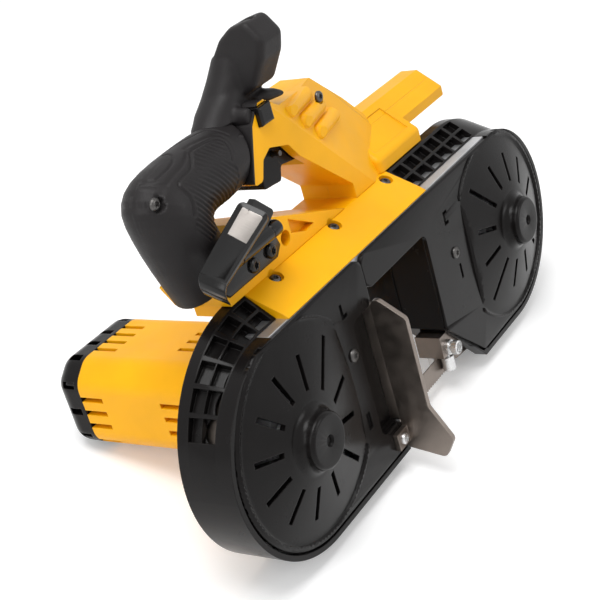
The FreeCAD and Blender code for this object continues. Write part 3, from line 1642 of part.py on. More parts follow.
def beam_screw(name, index, radius, sink, length):
    """A cylinder square to the beam's slope at one of its screws."""
    obj = doc.addObject("Part::Cylinder", f"{name}_{index}")
    bind(obj, "Radius", radius)
    bind(obj, "Height", length)
    obj.Placement.Rotation = FreeCAD.Rotation(X_AXIS, beam_slope)
    out = (-math.sin(math.radians(beam_slope)), math.cos(math.radians(beam_slope)))
    locate(obj, S.beam_screw_first + S.beam_screw_pitch * index, S.beam_screw_y - sink * out[0],
           beam_lip_top + screw_lift - sink * out[1])
    return obj


beam_recesses = [beam_screw("beam_recess", index, S.screw_recess, S.beam_screw_sink,
                            S.beam_screw_sink + S.overrun)
                 for index in range(BEAM_SCREWS)]
boss_hole = rod("boss_hole", S.screw_recess, (S.boss_screw_x, handle_front - S.overrun, S.boss_screw_z),
                S.screw_depth + S.overrun)
pin_start = (S.trigger_pivot_x, mid - S.trigger_pin_reach, S.trigger_pivot_z)
pin_hole = rod("pin_hole", S.trigger_pin_radius, pin_start, S.trigger_pin_reach * 2)
web_hole = rod("web_hole", S.screw_recess, (S.web_screw_x, handle_front - S.overrun, S.web_screw_z),
               S.screw_depth + S.overrun)
switch_room = box("switch_room", (S.switch_left, S.switch_right), (mid - S.switch_half, mid + S.switch_half),
                  (S.trigger_bay_top, S.trigger_bay_top + S.switch_height))
shell_whole = fuse("shell_whole", housing, foot_body, beam_body, tower, nose_body)
shell = cut("shell", shell_whole, rear_grip, trigger_bay, lock_hole, boss_hole, pin_hole, web_hole,
            switch_room,
            *beam_recesses)
front_side = box("front_side", (S.foot_outer_x - S.overrun, S.tower_right + S.overrun), (ZERO, mid),
                 (strip_bottom, S.housing_top + S.overrun))
rear_side = box("rear_side", (S.foot_outer_x - S.overrun, S.tower_right + S.overrun),
                (mid, handle_back + S.overrun),
                (strip_bottom, S.housing_top + S.overrun))
node(common("handle_shell_front", shell, front_side), "handle_shell_front")
node(common("handle_shell_rear", shell, rear_side), "handle_shell_rear")
node(box("switch_module", (S.switch_left, S.switch_right), (mid - S.switch_half, mid + S.switch_half),
         (S.trigger_bay_top, S.trigger_bay_top + S.switch_height)), "switch_module")


# Battery receiver: two rails and a terminal block on the back of the tower

rail_top = S.tower_crest_top - S.rail_inset
rail_low = S.arm_under + S.rail_inset / 2
receiver_span = (S.tower_left + S.rail_inset, S.tower_right - S.rail_inset)
receiver_parts = []
for name, low in (("upper_rail", rail_top - S.rail_height), ("lower_rail", rail_low)):
    stem = box(name + "_stem", receiver_span, (handle_back, handle_back + S.rail_depth),
               (low, low + S.rail_height))
    lip_low = low if name == "upper_rail" else low - S.rail_lip
    lip = box(name + "_lip", receiver_span,
              (handle_back + S.rail_depth - S.rail_lip, handle_back + S.rail_depth),
              (lip_low, lip_low + S.rail_height + S.rail_lip))
    receiver_parts += [stem, lip]
node(fuse("receiver_bridge", *receiver_parts,
          box("receiver_plate", receiver_span, (handle_back, handle_back + S.rail_lip),
              (rail_low, rail_top))),
     "battery_receiver")


# Front knob: a leaning head on a flared neck and a collar

knob_body = new_body("knob_body")
knob_span = (S.knob_x - S.knob_half, S.knob_x + S.knob_half)
knob_pad = pad(knob_body, "knob_pad", "yz", knob_span, [
    (S.knob_front_lip_y, S.knob_front_lip_z),
    (S.knob_rear_lip_y, S.knob_rear_lip_z),
    (S.knob_heel_y, S.knob_heel_z),
    (S.knob_back_y, S.knob_back_z),
    (S.knob_nape_y, S.knob_nape_z),
    (S.knob_crown_y, S.knob_crown_z),
    (S.knob_top_y, S.knob_top_z),
    (S.knob_brow_y, S.knob_brow_z),
    (S.knob_front_y, S.knob_front_z),
])
knob_side = round_edges(knob_body, "knob_corners", knob_pad, S.knob_corner, along(X_AXIS))


def knob_face(edge):
    """A test for the edges round the knob's two flat sides."""
    span = edge.BoundBox
    flat = span.XLength < EDGE_TOLERANCE
    return flat and min(abs(span.XMin - side.value) for side in knob_span) < EDGE_TOLERANCE


round_edges(knob_body, "knob_soft", knob_side, S.knob_rim, knob_face)
neck_rings = []
neck_foot_x = S.knob_x - S.neck_foot_shift
for name, half_x, half_y, x, y, z in (
    ("neck_low", S.neck_foot_half_x, S.neck_half_y, neck_foot_x, mid, S.knob_low),
    ("neck_high", S.neck_half_x, S.neck_top_half_y, S.knob_x, S.neck_y, S.neck_top),
):
    ring = doc.addObject("Part::Ellipse", name)
    bind(ring, "MajorRadius", max(half_x, half_y, key=lambda size: size.value))
    bind(ring, "MinorRadius", min(half_x, half_y, key=lambda size: size.value))
    if half_y.value > half_x.value:
        ring.Placement.Rotation = FreeCAD.Rotation(Z_AXIS, 90)
    locate(ring, x, y, z)
    neck_rings.append(ring)
neck = doc.addObject("Part::Loft", "neck")
neck.Sections = neck_rings
neck.Solid = True
neck.Ruled = True
collar_rings = []
for share in COLLAR_SHARES:
    ring = doc.addObject("Part::Ellipse", f"collar_{len(collar_rings)}")
    bind(ring, "MajorRadius", S.collar_half_x * share)
    bind(ring, "MinorRadius", S.collar_half_y * share)
    locate(ring, S.knob_x, mid, S.collar_low + S.collar_height * len(collar_rings))
    collar_rings.append(ring)
collar = doc.addObject("Part::Loft", "collar")
collar.Sections = collar_rings
collar.Solid = True
collar.Ruled = True
knob_turn = FreeCAD.Rotation(X_AXIS, KNOB_LEAN)
lean_out = (-math.sin(math.radians(KNOB_LEAN)), math.cos(math.radians(KNOB_LEAN)))


def knob_bore(name, length):
    """A cylinder down into the knob's top from its screw place."""
    obj = doc.addObject("Part::Cylinder", name)
    bind(obj, "Radius", S.knob_hole_radius)
    bind(obj, "Height", length)
    obj.Placement.Rotation = knob_turn
    locate(obj, S.knob_x, S.knob_hole_y - S.knob_hole_depth * lean_out[0],
           S.knob_hole_z - S.knob_hole_depth * lean_out[1])
    return obj


knob_pieces = []
for piece in (knob_body, neck, collar):
    seated = cut(piece.Name + "_seated", piece, shell_whole)
    knob_pieces.append(cut(piece.Name + "_joined", seated, rear_grip))
knob_whole = fuse("knob_whole", *knob_pieces)
knob_hole = knob_bore("knob_hole", S.knob_hole_depth * 2)
node(cut("front_knob", knob_whole, knob_hole), "front_knob")
node(knob_bore("knob_screw", S.screw_head), "knob_screw")


# Trigger on its pin, and the lock button beside it

trigger_body = new_body("trigger_body")
trigger_span = (mid - S.trigger_width / 2, mid + S.trigger_width / 2)
trigger_pad = pad(trigger_body, "trigger_pad", "xz", trigger_span, [
    (S.trigger_heel_x, S.trigger_heel_z),
    (S.trigger_toe_x, S.trigger_toe_z),
    (S.trigger_tip_x, S.trigger_tip_z),
    (S.trigger_notch_x, S.trigger_notch_z),
    (S.trigger_lobe_x, S.trigger_lobe_z),
    (S.trigger_lobe_x, S.trigger_lobe_z + S.trigger_lobe_rise),
    (S.trigger_crest_x, S.trigger_crest_z),
])
round_edges(trigger_body, "trigger_soft", trigger_pad, S.trigger_round, along(Y_AXIS))
trigger_bore = rod("trigger_bore", S.trigger_pin_radius + S.running_gap, pin_start, S.trigger_pin_reach * 2)
node(cut("trigger", trigger_body, trigger_bore), "trigger")
node(rod("trigger_pin", S.trigger_pin_radius, pin_start, S.trigger_pin_reach * 2), "trigger_pin")
lock_body = new_body("lock_body")
lock_pad = pad(lock_body, "lock_pad", "xz", (handle_front - S.lock_proud, handle_front + S.lock_inside), [
    (S.lock_x - lock_half, S.lock_z - lock_rise),
    (S.lock_x + lock_half, S.lock_z - lock_rise),
    (S.lock_x + lock_half, S.lock_z + lock_rise),
    (S.lock_x - lock_half, S.lock_z + lock_rise),
])
round_edges(lock_body, "lock_round", lock_pad, S.lock_round, at_depth(handle_front - S.lock_proud))
node(lock_body, "lock_button")


# Hang hook: a hinged plate on a bracket at the handle's foot

bracket_back = handle_front
bracket_front = handle_front - S.hook_plate
bracket_body = new_body("bracket_body")
bracket_pad = pad(bracket_body, "bracket_pad", "xz", (bracket_front, bracket_back), [
    (S.hook_left, S.hook_bottom),
    (S.hook_right - S.hook_corner, S.hook_bottom),
    (S.hook_right, S.hook_bottom + S.hook_corner),
    (S.hook_right - S.hook_corner, S.hook_top),
    (S.hook_left, S.hook_top),
    (S.hook_left - S.hook_corner, S.hook_bottom + S.hook_corner),
])
hinge_y = bracket_front - S.hook_bar_radius - S.hook_strap / 2 - S.hook_room
hinge_z = S.hook_top - S.hook_bar_radius
eye_radius = S.hook_bar_radius + S.hook_strap / 2
eye_length = S.hook_eye
hook_eyes = []
for name, x in (("left_eye", S.hook_left), ("right_eye", S.hook_right - S.hook_corner - eye_length)):
    eye = rod(name, eye_radius, (x, hinge_y, hinge_z), eye_length, "x")
    web = box(name + "_web", (x, x + eye_length), (hinge_y, bracket_front),
              (hinge_z - eye_radius, hinge_z + eye_radius))
    hook_eyes += [eye, web]
hinge_room = rod("hinge_room", S.hook_bar_radius, (S.hook_left, hinge_y, hinge_z),
                 S.hook_right - S.hook_corner - S.hook_left, "x")
node(cut("hook_bracket", fuse("bracket_whole", bracket_body, *hook_eyes), hinge_room), "hook_bracket")
node(rod("hook_pin", S.hook_bar_radius, (S.hook_left, hinge_y, hinge_z),
         S.hook_right - S.hook_corner - S.hook_left, "x"),
     "hook_pin")
knuckle_left = S.hook_left + eye_length + S.slide_gap
knuckle_right = S.hook_right - S.hook_corner - eye_length - S.slide_gap
knuckle = rod("knuckle", eye_radius, (knuckle_left, hinge_y, hinge_z), knuckle_right - knuckle_left, "x")
hook_body = new_body("hook_body")
hook_front = hinge_y - S.hook_strap / 2
hook_back = hinge_y + S.hook_strap / 2
hook_low = hinge_z + eye_radius + S.hook_room
hook_pad = pad(hook_body, "hook_pad", "xz", (hook_front, hook_back), [
    (knuckle_left, hinge_z),
    (knuckle_right, hinge_z),
    (knuckle_right, hook_low),
    (S.hook_tip_x, S.hook_tip_z),
    (S.hook_crest_x, S.hook_crest_z),
    (S.hook_shoulder_x, S.hook_crest_z),
    (S.hook_tail_x, S.hook_tail_z),
    (S.hook_tail_x + S.hook_corner, hook_low),
    (knuckle_left, hook_low),
])


def above_knuckle(edge):
    return along(Y_AXIS)(edge) and edge.BoundBox.ZMin > hook_low.value + EDGE_TOLERANCE


round_edges(hook_body, "hook_corners", hook_pad, S.hook_round, above_knuckle)
pin_room = rod("pin_room", S.hook_bar_radius + S.running_gap, (S.hook_left, hinge_y, hinge_z), S.hook_right,
               "x")
node(cut("hang_hook", fuse("hook_whole", knuckle, hook_body), pin_room), "hang_hook")
hook_screws = []
for index in range(HOOK_SCREWS):
    hook_screws.append(rod(f"hook_screw_{index}", S.hook_screw_radius,
                           (S.hook_screw_x - S.hook_screw_pitch * index, bracket_front - S.screw_head,
                            S.hook_screw_z),
                           S.screw_head))
node(group("hook_screws", *hook_screws), "hook_screws")


# Material stop: a bent steel plate that the work is held against

stop_body = new_body("stop_body")
stop_span = (S.stop_x, S.stop_x + S.stop_thickness)
stop_pad = pad(stop_body, "stop_pad", "yz", stop_span, [
    (S.stop_front, S.stop_low),
    (S.stop_toe_y, S.stop_toe_z),
    (S.stop_sole_y, S.stop_sole_z),
    (ZERO, S.stop_heel_z),
    (ZERO, S.stop_shoulder_z),
    (S.stop_shoulder_y, S.stop_shoulder_z),
    (S.stop_front, S.stop_top),
])
round_edges(stop_body, "stop_round", stop_pad, S.stop_round, along(X_AXIS))
stop_tab = box("stop_tab", (S.stop_x - S.stop_tab, S.stop_x), (-S.stop_thickness, ZERO),
               (S.stop_heel_z + S.stop_round, arm_top - S.stop_round))
node(fuse("material_stop", stop_body, stop_tab), "material_stop")
node(rod("stop_screw", S.screw_radius,
         (S.stop_x - S.stop_tab / 2, -S.stop_thickness - S.screw_head, (S.stop_heel_z + arm_top) / 2),
         S.screw_head), "stop_screw")


# Band: flat on the wheels, turned on edge through the throat with its teeth down

band_half = S.band_width / 2
band_outer = S.band_radius + S.band_thickness / 2
band_inner = S.band_radius - S.band_thickness / 2
loop_body = new_body("loop_body")
twist_left = left_axis + S.twist_start
twist_right = right_axis - S.twist_start


band_span = (band_middle - band_half, band_middle + band_half)
pad(loop_body, "loop_pad", "xz", band_span, [
    (right_axis, band_outer),
    (left_axis, band_outer),
    Bend((left_axis, ZERO)),
    (left_axis, -band_outer),
    (twist_left, -band_outer),
    (twist_left, -band_inner),
    (left_axis, -band_inner),
    Bend((left_axis, ZERO), clockwise=True),
    (left_axis, band_inner),
    (right_axis, band_inner),
    Bend((right_axis, ZERO), clockwise=True),
    (right_axis, -band_inner),
    (twist_right, -band_inner),
    (twist_right, -band_outer),
    (right_axis, -band_outer),
    Bend((right_axis, ZERO)),
])


def band_section(x, turn):
    """The band's cross section at a place along the lower run, turned about its middle."""
    corners = []
    for across, thick in ((-1, -1), (1, -1), (1, 1), (-1, 1)):
        y = across * band_half.value
        z = thick * S.band_thickness.value / 2
        corners.append(V(x, band_middle.value + y * math.cos(turn) - z * math.sin(turn),
                         -S.band_radius.value + y * math.sin(turn) + z * math.cos(turn)))
    return Part.makePolygon(corners + corners[:1])


def band_twist(start, end):
    """The stretch in which the band turns from flat to upright."""
    wires = []
    for step in range(TWIST_STEPS + 1):
        share = step / TWIST_STEPS
        wires.append(band_section(start + (end - start) * share, math.pi / 2 * share))
    return Part.makeLoft(wires, True, True)


def toothed_run(start, end):
    """The upright stretch through the throat with a row of teeth along its lower edge."""
    low = -S.band_radius.value - band_half.value
    high = -S.band_radius.value + band_half.value
    front = band_middle.value - S.band_thickness.value / 2
    count = round((end - start) / S.tooth_pitch.value)
    pitch = (end - start) / count
    points = [V(start, front, high), V(start, front, low)]
    for tooth in range(count):
        gullet = start + pitch * (tooth + GULLET_SHARE)
        points.append(V(gullet, front, low + S.tooth_depth.value))
        points.append(V(start + pitch * (tooth + 1), front, low))
    points.append(V(end, front, high))
    face = Part.Face(Part.makePolygon(points + points[:1]))
    return face.extrude(Y_AXIS * S.band_thickness.value)


throat_run = doc.addObject("Part::Feature", "throat_run")
throat_run.Shape = toothed_run(S.twist_left_end.value, S.twist_right_end.value)
left_twist = doc.addObject("Part::Feature", "left_twist")
left_twist.Shape = band_twist(twist_left.value, S.twist_left_end.value)
right_twist = doc.addObject("Part::Feature", "right_twist")
right_twist.Shape = band_twist(twist_right.value, S.twist_right_end.value)
node(fuse("saw_blade", loop_body, left_twist, throat_run, right_twist), "saw_blade")


# Guides: rollers on both faces of the band and one behind it

def on_notch(z):
    """The place on the right guard's slanted throat wall at a height."""
    slant = (S.notch_right - S.throat_right) / (S.notch_top + guard_radius)
    return S.throat_right + (S.notch_top - z) * slant


roller_reach = S.band_thickness / 2 + S.band_gap + S.roller_radius
band_top = -S.band_radius + band_half
back_z = band_top + S.band_gap + S.back_roller_radius
guide_left = S.guide_right_x - S.guide_half
guide_body = new_body("guide_body")
pad(guide_body, "guide_pad", "xz", (S.guide_front, S.guide_back), [
    (guide_left, guide_bottom),
    (on_notch(guide_bottom), guide_bottom),
    (on_notch(guide_top), guide_top),
    (guide_left, guide_top),
])
back_half = S.back_roller_width / 2 + S.slide_gap * 2
roller_room = box("roller_room", (S.guide_right_x - S.back_roller_radius - S.slide_gap * 2,
                                  S.guide_right_x + S.back_roller_radius + S.slide_gap * 2),
                  (band_middle - back_half,
                   band_middle + back_half), (guide_bottom, back_z + S.back_roller_radius + S.slide_gap * 2))
back_pin = rod("back_pin", S.roller_pin_radius, (S.guide_right_x, S.guide_front, back_z),
               S.guide_back - S.guide_front)
node(cut("right_guide", guide_body, roller_room, back_pin), "right_guide")
node(tube("back_roller", S.back_roller_radius, S.roller_pin_radius + S.running_gap,
          (S.guide_right_x, band_middle - S.back_roller_width / 2,
           back_z), S.back_roller_width), "back_roller")
guide_pins = [group("back_pin_copy", back_pin)]
roller_sides = (("front", -roller_reach), ("rear", roller_reach))
for side_name, shift in roller_sides:
    y = band_middle + shift
    left_start = -guard_radius + S.guard_wall
    left_top = arm_top - S.guard_wall
    guide_pins.append(rod(f"left_{side_name}_pin", S.roller_pin_radius, (S.guide_left_x, y, left_start),
                          left_top - left_start, "z"))
    node(tube(f"left_{side_name}_roller", S.roller_radius, S.roller_pin_radius + S.running_gap,
              (S.guide_left_x, y,
               left_start + S.slide_gap), S.roller_height, "z"), f"left_{side_name}_roller")
    right_low = band_top - S.guard_gap - S.roller_height
    guide_pins.append(rod(f"right_{side_name}_pin", S.roller_pin_radius, (S.guide_right_x, y, right_low),
                          guide_bottom - right_low, "z"))
    node(tube(f"right_{side_name}_roller", S.roller_radius, S.roller_pin_radius + S.running_gap,
              (S.guide_right_x, y, right_low), S.roller_height, "z"), f"right_{side_name}_roller")
node(group("guide_pins", *guide_pins), "guide_pins")


# Screws that show on the outside

cover_screws = []
for name, x, z in (("left", S.left_screw_x, S.left_screw_z), ("right", S.right_screw_x, S.right_screw_z)):
    cover_screws.append(rod(f"{name}_cover_screw", S.cover_screw_radius, (x, -S.cover_screw_head, z),
                            S.cover_screw_head))
node(group("cover_screws", *cover_screws), "cover_screws")
beam_screws = [beam_screw("beam_screw", index, S.screw_radius, S.beam_screw_sink,
                          S.screw_head) for index in range(BEAM_SCREWS)]
node(group("beam_screws", *beam_screws), "beam_screws")
screw_floor = handle_front + S.screw_depth - S.screw_head
handle_screws = []
for name, x, z in (("grip", S.grip_screw_x, S.grip_screw_z), ("boss", S.boss_screw_x, S.boss_screw_z),
                   ("web", S.web_screw_x, S.web_screw_z)):
    handle_screws.append(rod(f"{name}_screw", S.screw_radius, (x, screw_floor, z), S.screw_head))
node(group("handle_screws", *handle_screws), "handle_screws")


# Check that every piece was built before the saw is set down

doc.recompute()


def check_built():
    failed = [obj.Name for obj in doc.Objects if "Invalid" in obj.State or "Error" in obj.State]
    failed += [obj.Label for obj in NODES if obj.Shape.isNull() or not obj.Shape.isValid()]
    if failed:
        raise RuntimeError(f"these pieces did not build: {failed}")


check_built()

# Rest: the saw leans back on the rear edge of its guards and on the motor's end cap

cap_bottom = S.motor_z - S.motor_half_height
rise = (cap_bottom + S.cap_round + guard_radius).value
run = (S.cap_end - S.cap_round - S.guard_depth).value
lean = math.acos(S.cap_round.value / math.hypot(rise, run)) - math.atan2(run, rise)
lean_back = FreeCAD.Placement(V(), FreeCAD.Rotation(X_AXIS, -math.degrees(lean)))
bounds = FreeCAD.BoundBox()
for obj in NODES:
    turned = obj.Shape.copy()
    turned.Placement = lean_back.multiply(turned.Placement)
    bounds.add(turned.optimalBoundingBox(False))
shift = V(-bounds.Center.x, -bounds.Center.y, -bounds.ZMin)
rest = FreeCAD.Placement(shift, FreeCAD.Rotation()).multiply(lean_back)
for obj in NODES:
    obj.Placement = rest
doc.recompute()
check_built()
os.makedirs("parts", exist_ok=True)
for obj in NODES:
    obj.Shape.exportStep(f"parts/{obj.Label}.step")
print(f"lean {math.degrees(lean):.2f} degrees, rest {rest.Base}, {len(NODES)} pieces")
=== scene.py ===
import json
import math

import bmesh
import bpy
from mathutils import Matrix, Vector


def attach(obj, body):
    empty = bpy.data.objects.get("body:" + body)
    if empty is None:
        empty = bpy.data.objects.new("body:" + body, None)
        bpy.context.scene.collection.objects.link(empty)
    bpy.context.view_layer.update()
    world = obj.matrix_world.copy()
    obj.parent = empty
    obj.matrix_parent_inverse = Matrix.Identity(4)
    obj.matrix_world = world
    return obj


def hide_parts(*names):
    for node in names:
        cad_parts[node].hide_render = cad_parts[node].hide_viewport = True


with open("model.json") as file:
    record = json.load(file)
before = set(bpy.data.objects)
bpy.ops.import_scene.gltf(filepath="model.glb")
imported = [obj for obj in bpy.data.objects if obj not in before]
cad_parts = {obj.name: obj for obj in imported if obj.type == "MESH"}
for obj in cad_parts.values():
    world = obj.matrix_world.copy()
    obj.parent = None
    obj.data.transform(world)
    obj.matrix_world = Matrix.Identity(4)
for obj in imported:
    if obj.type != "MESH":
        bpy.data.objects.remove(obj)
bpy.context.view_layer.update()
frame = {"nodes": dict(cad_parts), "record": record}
nodes = frame["nodes"]
scene = bpy.context.scene
MM = 0.001
WORN_EDGE = 1.1 * MM
ROUND_EDGE = 0.7 * MM
RELIEF_DEPTH = 0.3 * MM
SAME_POINT = 0.01 * MM


# Shader helpers
def wire(tree, start, end):
    tree.links.new(start, end)


def add_node(tree, kind, **settings):
    node = tree.nodes.new(kind)
    for name, value in settings.items():
        setattr(node, name, value)
    return node


def new_group(name, inputs, outputs):
    """A shader node group with its sockets; returns the tree and its two end nodes."""
    group = bpy.data.node_groups.new(name, "ShaderNodeTree")
    for label, kind, value in inputs:
        socket = group.interface.new_socket(label, in_out="INPUT", socket_type="NodeSocket" + kind)
        if value is not None:
            socket.default_value = value
    for label, kind in outputs:
        group.interface.new_socket(label, in_out="OUTPUT", socket_type="NodeSocket" + kind)
    return group, group.nodes.new("NodeGroupInput"), group.nodes.new("NodeGroupOutput")


def noise(tree, vector, scale, detail, roughness=0.5):
    """A noise texture; scale is a number or a socket."""
    texture = add_node(tree, "ShaderNodeTexNoise")
    wire(tree, vector, texture.inputs["Vector"])
    texture.inputs["Detail"].default_value = detail
    texture.inputs["Roughness"].default_value = roughness
    if isinstance(scale, (int, float)):
        texture.inputs["Scale"].default_value = scale
    else:
        wire(tree, scale, texture.inputs["Scale"])
    return texture.outputs["Fac"]


def calc(tree, operation, first, second):
    """One math node on sockets or numbers."""
    node = add_node(tree, "ShaderNodeMath", operation=operation)
    for index, value in enumerate((first, second)):
        if isinstance(value, (int, float)):
            node.inputs[index].default_value = value
        else:
            wire(tree, value, node.inputs[index])
    return node.outputs["Value"]


def remap(tree, value, low, high, out_low, out_high):
    node = add_node(tree, "ShaderNodeMapRange", clamp=True)
    wire(tree, value, node.inputs["Value"])
    limits = (("From Min", low), ("From Max", high), ("To Min", out_low), ("To Max", out_high))
    for name, number in limits:
        if isinstance(number, (int, float)):
            node.inputs[name].default_value = number
        else:
            wire(tree, number, node.inputs[name])
    return node.outputs["Result"]


def blend_colours(tree, amount, first, second):
    node = add_node(tree, "ShaderNodeMix", data_type="RGBA", blend_type="MIX")
    wire(tree, amount, node.inputs["Factor"])
    for name, value in (("A", first), ("B", second)):
        wire(tree, value, [s for s in node.inputs if s.name == name and s.type == "RGBA"][0])
    return [s for s in node.outputs if s.type == "RGBA"][0]


# Moulded plastic: a spark-eroded skin, cloudy tone and scuffs on the sharp edges
def moulded_skin():
    tree, start, end = new_group(
        "moulded_skin",
        [
            ("Color", "Color", (0.5, 0.5, 0.5, 1)),
            ("Worn Color", "Color", (0.6, 0.6, 0.6, 1)),
            ("Vector", "Vector", None),
            ("Grain Scale", "Float", 1600.0),
            ("Rough Low", "Float", 0.35),
            ("Rough High", "Float", 0.55),
            ("Wear", "Float", 0.3),
        ],
        [("Color", "Color"), ("Roughness", "Float"), ("Height", "Float")],
    )
    place = start.outputs["Vector"]
    grain = noise(tree, place, start.outputs["Grain Scale"], 2.0)
    cloud = noise(tree, place, 22.0, 3.0)
    smear = noise(tree, place, 90.0, 4.0, 0.6)
    surface = add_node(tree, "ShaderNodeNewGeometry")
    soft_edge = add_node(tree, "ShaderNodeBevel", samples=4)
    soft_edge.inputs["Radius"].default_value = WORN_EDGE
    facing = add_node(tree, "ShaderNodeVectorMath", operation="DOT_PRODUCT")
    wire(tree, soft_edge.outputs["Normal"], facing.inputs[0])
    wire(tree, surface.outputs["Normal"], facing.inputs[1])
    edge = remap(tree, facing.outputs["Value"], 0.99, 0.80, 0.0, 1.0)
    broken = remap(tree, smear, 0.42, 0.72, 0.0, 1.0)
    worn = calc(tree, "MULTIPLY", calc(tree, "MULTIPLY", edge, broken), start.outputs["Wear"])
    tone = remap(tree, cloud, 0.3, 0.7, 0.90, 1.06)
    shade = add_node(tree, "ShaderNodeVectorMath", operation="SCALE")
    wire(tree, start.outputs["Color"], shade.inputs[0])
    wire(tree, tone, shade.inputs["Scale"])
    colour = blend_colours(tree, worn, shade.outputs["Vector"], start.outputs["Worn Color"])
    wire(tree, colour, end.inputs["Color"])
    rough = remap(tree, smear, 0.3, 0.7, start.outputs["Rough Low"], start.outputs["Rough High"])
    wire(tree, rough, end.inputs["Roughness"])
    wire(tree, grain, end.inputs["Height"])
    return tree


# Metal: fine lines along one direction, with a little staining
def brushed_skin():
    tree, start, end = new_group(
        "brushed_skin",
        [
            ("Color", "Color", (0.5, 0.5, 0.5, 1)),
            ("Stain Color", "Color", (0.3, 0.3, 0.3, 1)),
            ("Vector", "Vector", None),
            ("Line Stretch", "Vector", (60.0, 60.0, 3000.0)),
            ("Rough Low", "Float", 0.2),
            ("Rough High", "Float", 0.4),
        ],
        [("Color", "Color"), ("Roughness", "Float"), ("Height", "Float")],
    )
    stretch = add_node(tree, "ShaderNodeVectorMath", operation="MULTIPLY")
    wire(tree, start.outputs["Vector"], stretch.inputs[0])
    wire(tree, start.outputs["Line Stretch"], stretch.inputs[1])
    line = noise(tree, stretch.outputs["Vector"], 1.0, 3.0)
    stain = noise(tree, start.outputs["Vector"], 70.0, 4.0, 0.6)
    amount = remap(tree, stain, 0.45, 0.75, 0.0, 0.6)
    colour = blend_colours(tree, amount, start.outputs["Color"], start.outputs["Stain Color"])
    wire(tree, colour, end.inputs["Color"])
    rough = remap(tree, line, 0.3, 0.7, start.outputs["Rough Low"], start.outputs["Rough High"])
    wire(tree, rough, end.inputs["Roughness"])
    wire(tree, line, end.inputs["Height"])
    return tree


MOULDED = moulded_skin()
BRUSHED = brushed_skin()


# The saw leans back on its rest; its own axes and millimetres are turned and shifted by these
LEAN = math.radians(17.43)
REST = Vector((-0.120, -0.060115, 0.070824))
FRONT = Vector((0, -math.cos(LEAN), math.sin(LEAN)))


def turn_back(direction):
    """A direction in the saw's own axes, as one of the frame."""
    x, y, z = direction
    return Vector((
        x, y * math.cos(LEAN) + z * math.sin(LEAN), -y * math.sin(LEAN) + z * math.cos(LEAN)
    ))


def on_frame(point):
    """A place in the saw's own axes, in millimetres, as a point of the frame."""
    return REST + turn_back(point) * MM


def saw_place(point):
    """A point of the frame in the saw's own axes, in millimetres."""
    x, y, z = (point - REST) / MM
    return Vector((
        x, y * math.cos(LEAN) - z * math.sin(LEAN), y * math.sin(LEAN) + z * math.cos(LEAN)
    ))


# Two-shot moulding: the soft black shot covers the handle's rear and top faces, to a shallow depth
MASK_BLUR = 0.1 * MM


def dot_with(tree, vector, direction):
    node = add_node(tree, "ShaderNodeVectorMath", operation="DOT_PRODUCT")
    wire(tree, vector, node.inputs[0])
    node.inputs[1].default_value = direction
    return node.outputs["Value"]


def second_shot(planes, foot):
    tree, start, end = new_group("second_shot", [("Vector", "Vector", None)], [("Mask", "Float")])
    nearest = None
    for (nx, nz), (x, z), depth in planes:
        outward = turn_back((nx, 0, nz))
        level = outward.dot(on_frame((x, 0, z))) - depth * MM
        below = calc(tree, "SUBTRACT", level, dot_with(tree, start.outputs["Vector"], outward))
        nearest = below if nearest is None else calc(tree, "MINIMUM", nearest, below)
    skin = remap(tree, nearest, -MASK_BLUR, MASK_BLUR, 1.0, 0.0)
    upward = turn_back((0, 0, 1))
    lowest = REST.dot(upward) + foot * MM
    height = dot_with(tree, start.outputs["Vector"], upward)
    upper = remap(tree, height, lowest - MASK_BLUR, lowest + MASK_BLUR, 0.0, 1.0)
    wire(tree, calc(tree, "MULTIPLY", skin, upper), end.inputs["Mask"])
    return tree


SECOND_SHOT = second_shot((
    ((-0.928, 0.374), (54.5, 143.0), 1.0),
    ((-0.707, 0.707), (54.5, 143.0), 1.0),
    ((0.0, 1.0), (54.5, 152.0), 0.5),
), 112.0)


def start_material(name, metallic=0.0, specular=0.5):
    """A material with its surface shader and the object's own coordinates."""
    material = bpy.data.materials.new(name)
    material.use_nodes = True
    shader = material.node_tree.nodes["Principled BSDF"]
    shader.inputs["Metallic"].default_value = metallic
    shader.inputs["Specular IOR Level"].default_value = specular
    place = add_node(material.node_tree, "ShaderNodeTexCoord")
    return material, shader, place.outputs["Object"]


def add_skin(tree, group, values, place):
    """One placed group with its own values."""
    skin = add_node(tree, "ShaderNodeGroup", node_tree=group)
    for label, value in values.items():
        skin.inputs[label].default_value = value
    wire(tree, place, skin.inputs["Vector"])
    return skin


def add_relief(tree, height, shader, bump):
    """Fine relief over edges that look rounded."""
    raised = add_node(tree, "ShaderNodeBump")
    raised.inputs["Strength"].default_value = bump
    raised.inputs["Distance"].default_value = RELIEF_DEPTH
    wire(tree, height, raised.inputs["Height"])
    rounded = add_node(tree, "ShaderNodeBevel", samples=4)
    rounded.inputs["Radius"].default_value = ROUND_EDGE
    wire(tree, rounded.outputs["Normal"], raised.inputs["Normal"])
    wire(tree, raised.outputs["Normal"], shader.inputs["Normal"])


def finish_material(name, group, values, bump, metallic=0.0, specular=0.5):
    """One material: a group on object coordinates, its relief and the surface shader."""
    material, shader, place = start_material(name, metallic, specular)
    tree = material.node_tree
    skin = add_skin(tree, group, values, place)
    wire(tree, skin.outputs["Color"], shader.inputs["Base Color"])
    wire(tree, skin.outputs["Roughness"], shader.inputs["Roughness"])
    add_relief(tree, skin.outputs["Height"], shader, bump)
    return material


def plastic_values(colour, worn, grain, rough, wear):
    return {
        "Color": (*colour, 1),
        "Worn Color": (*worn, 1),
        "Grain Scale": grain,
        "Rough Low": rough[0],
        "Rough High": rough[1],
        "Wear": wear,
    }


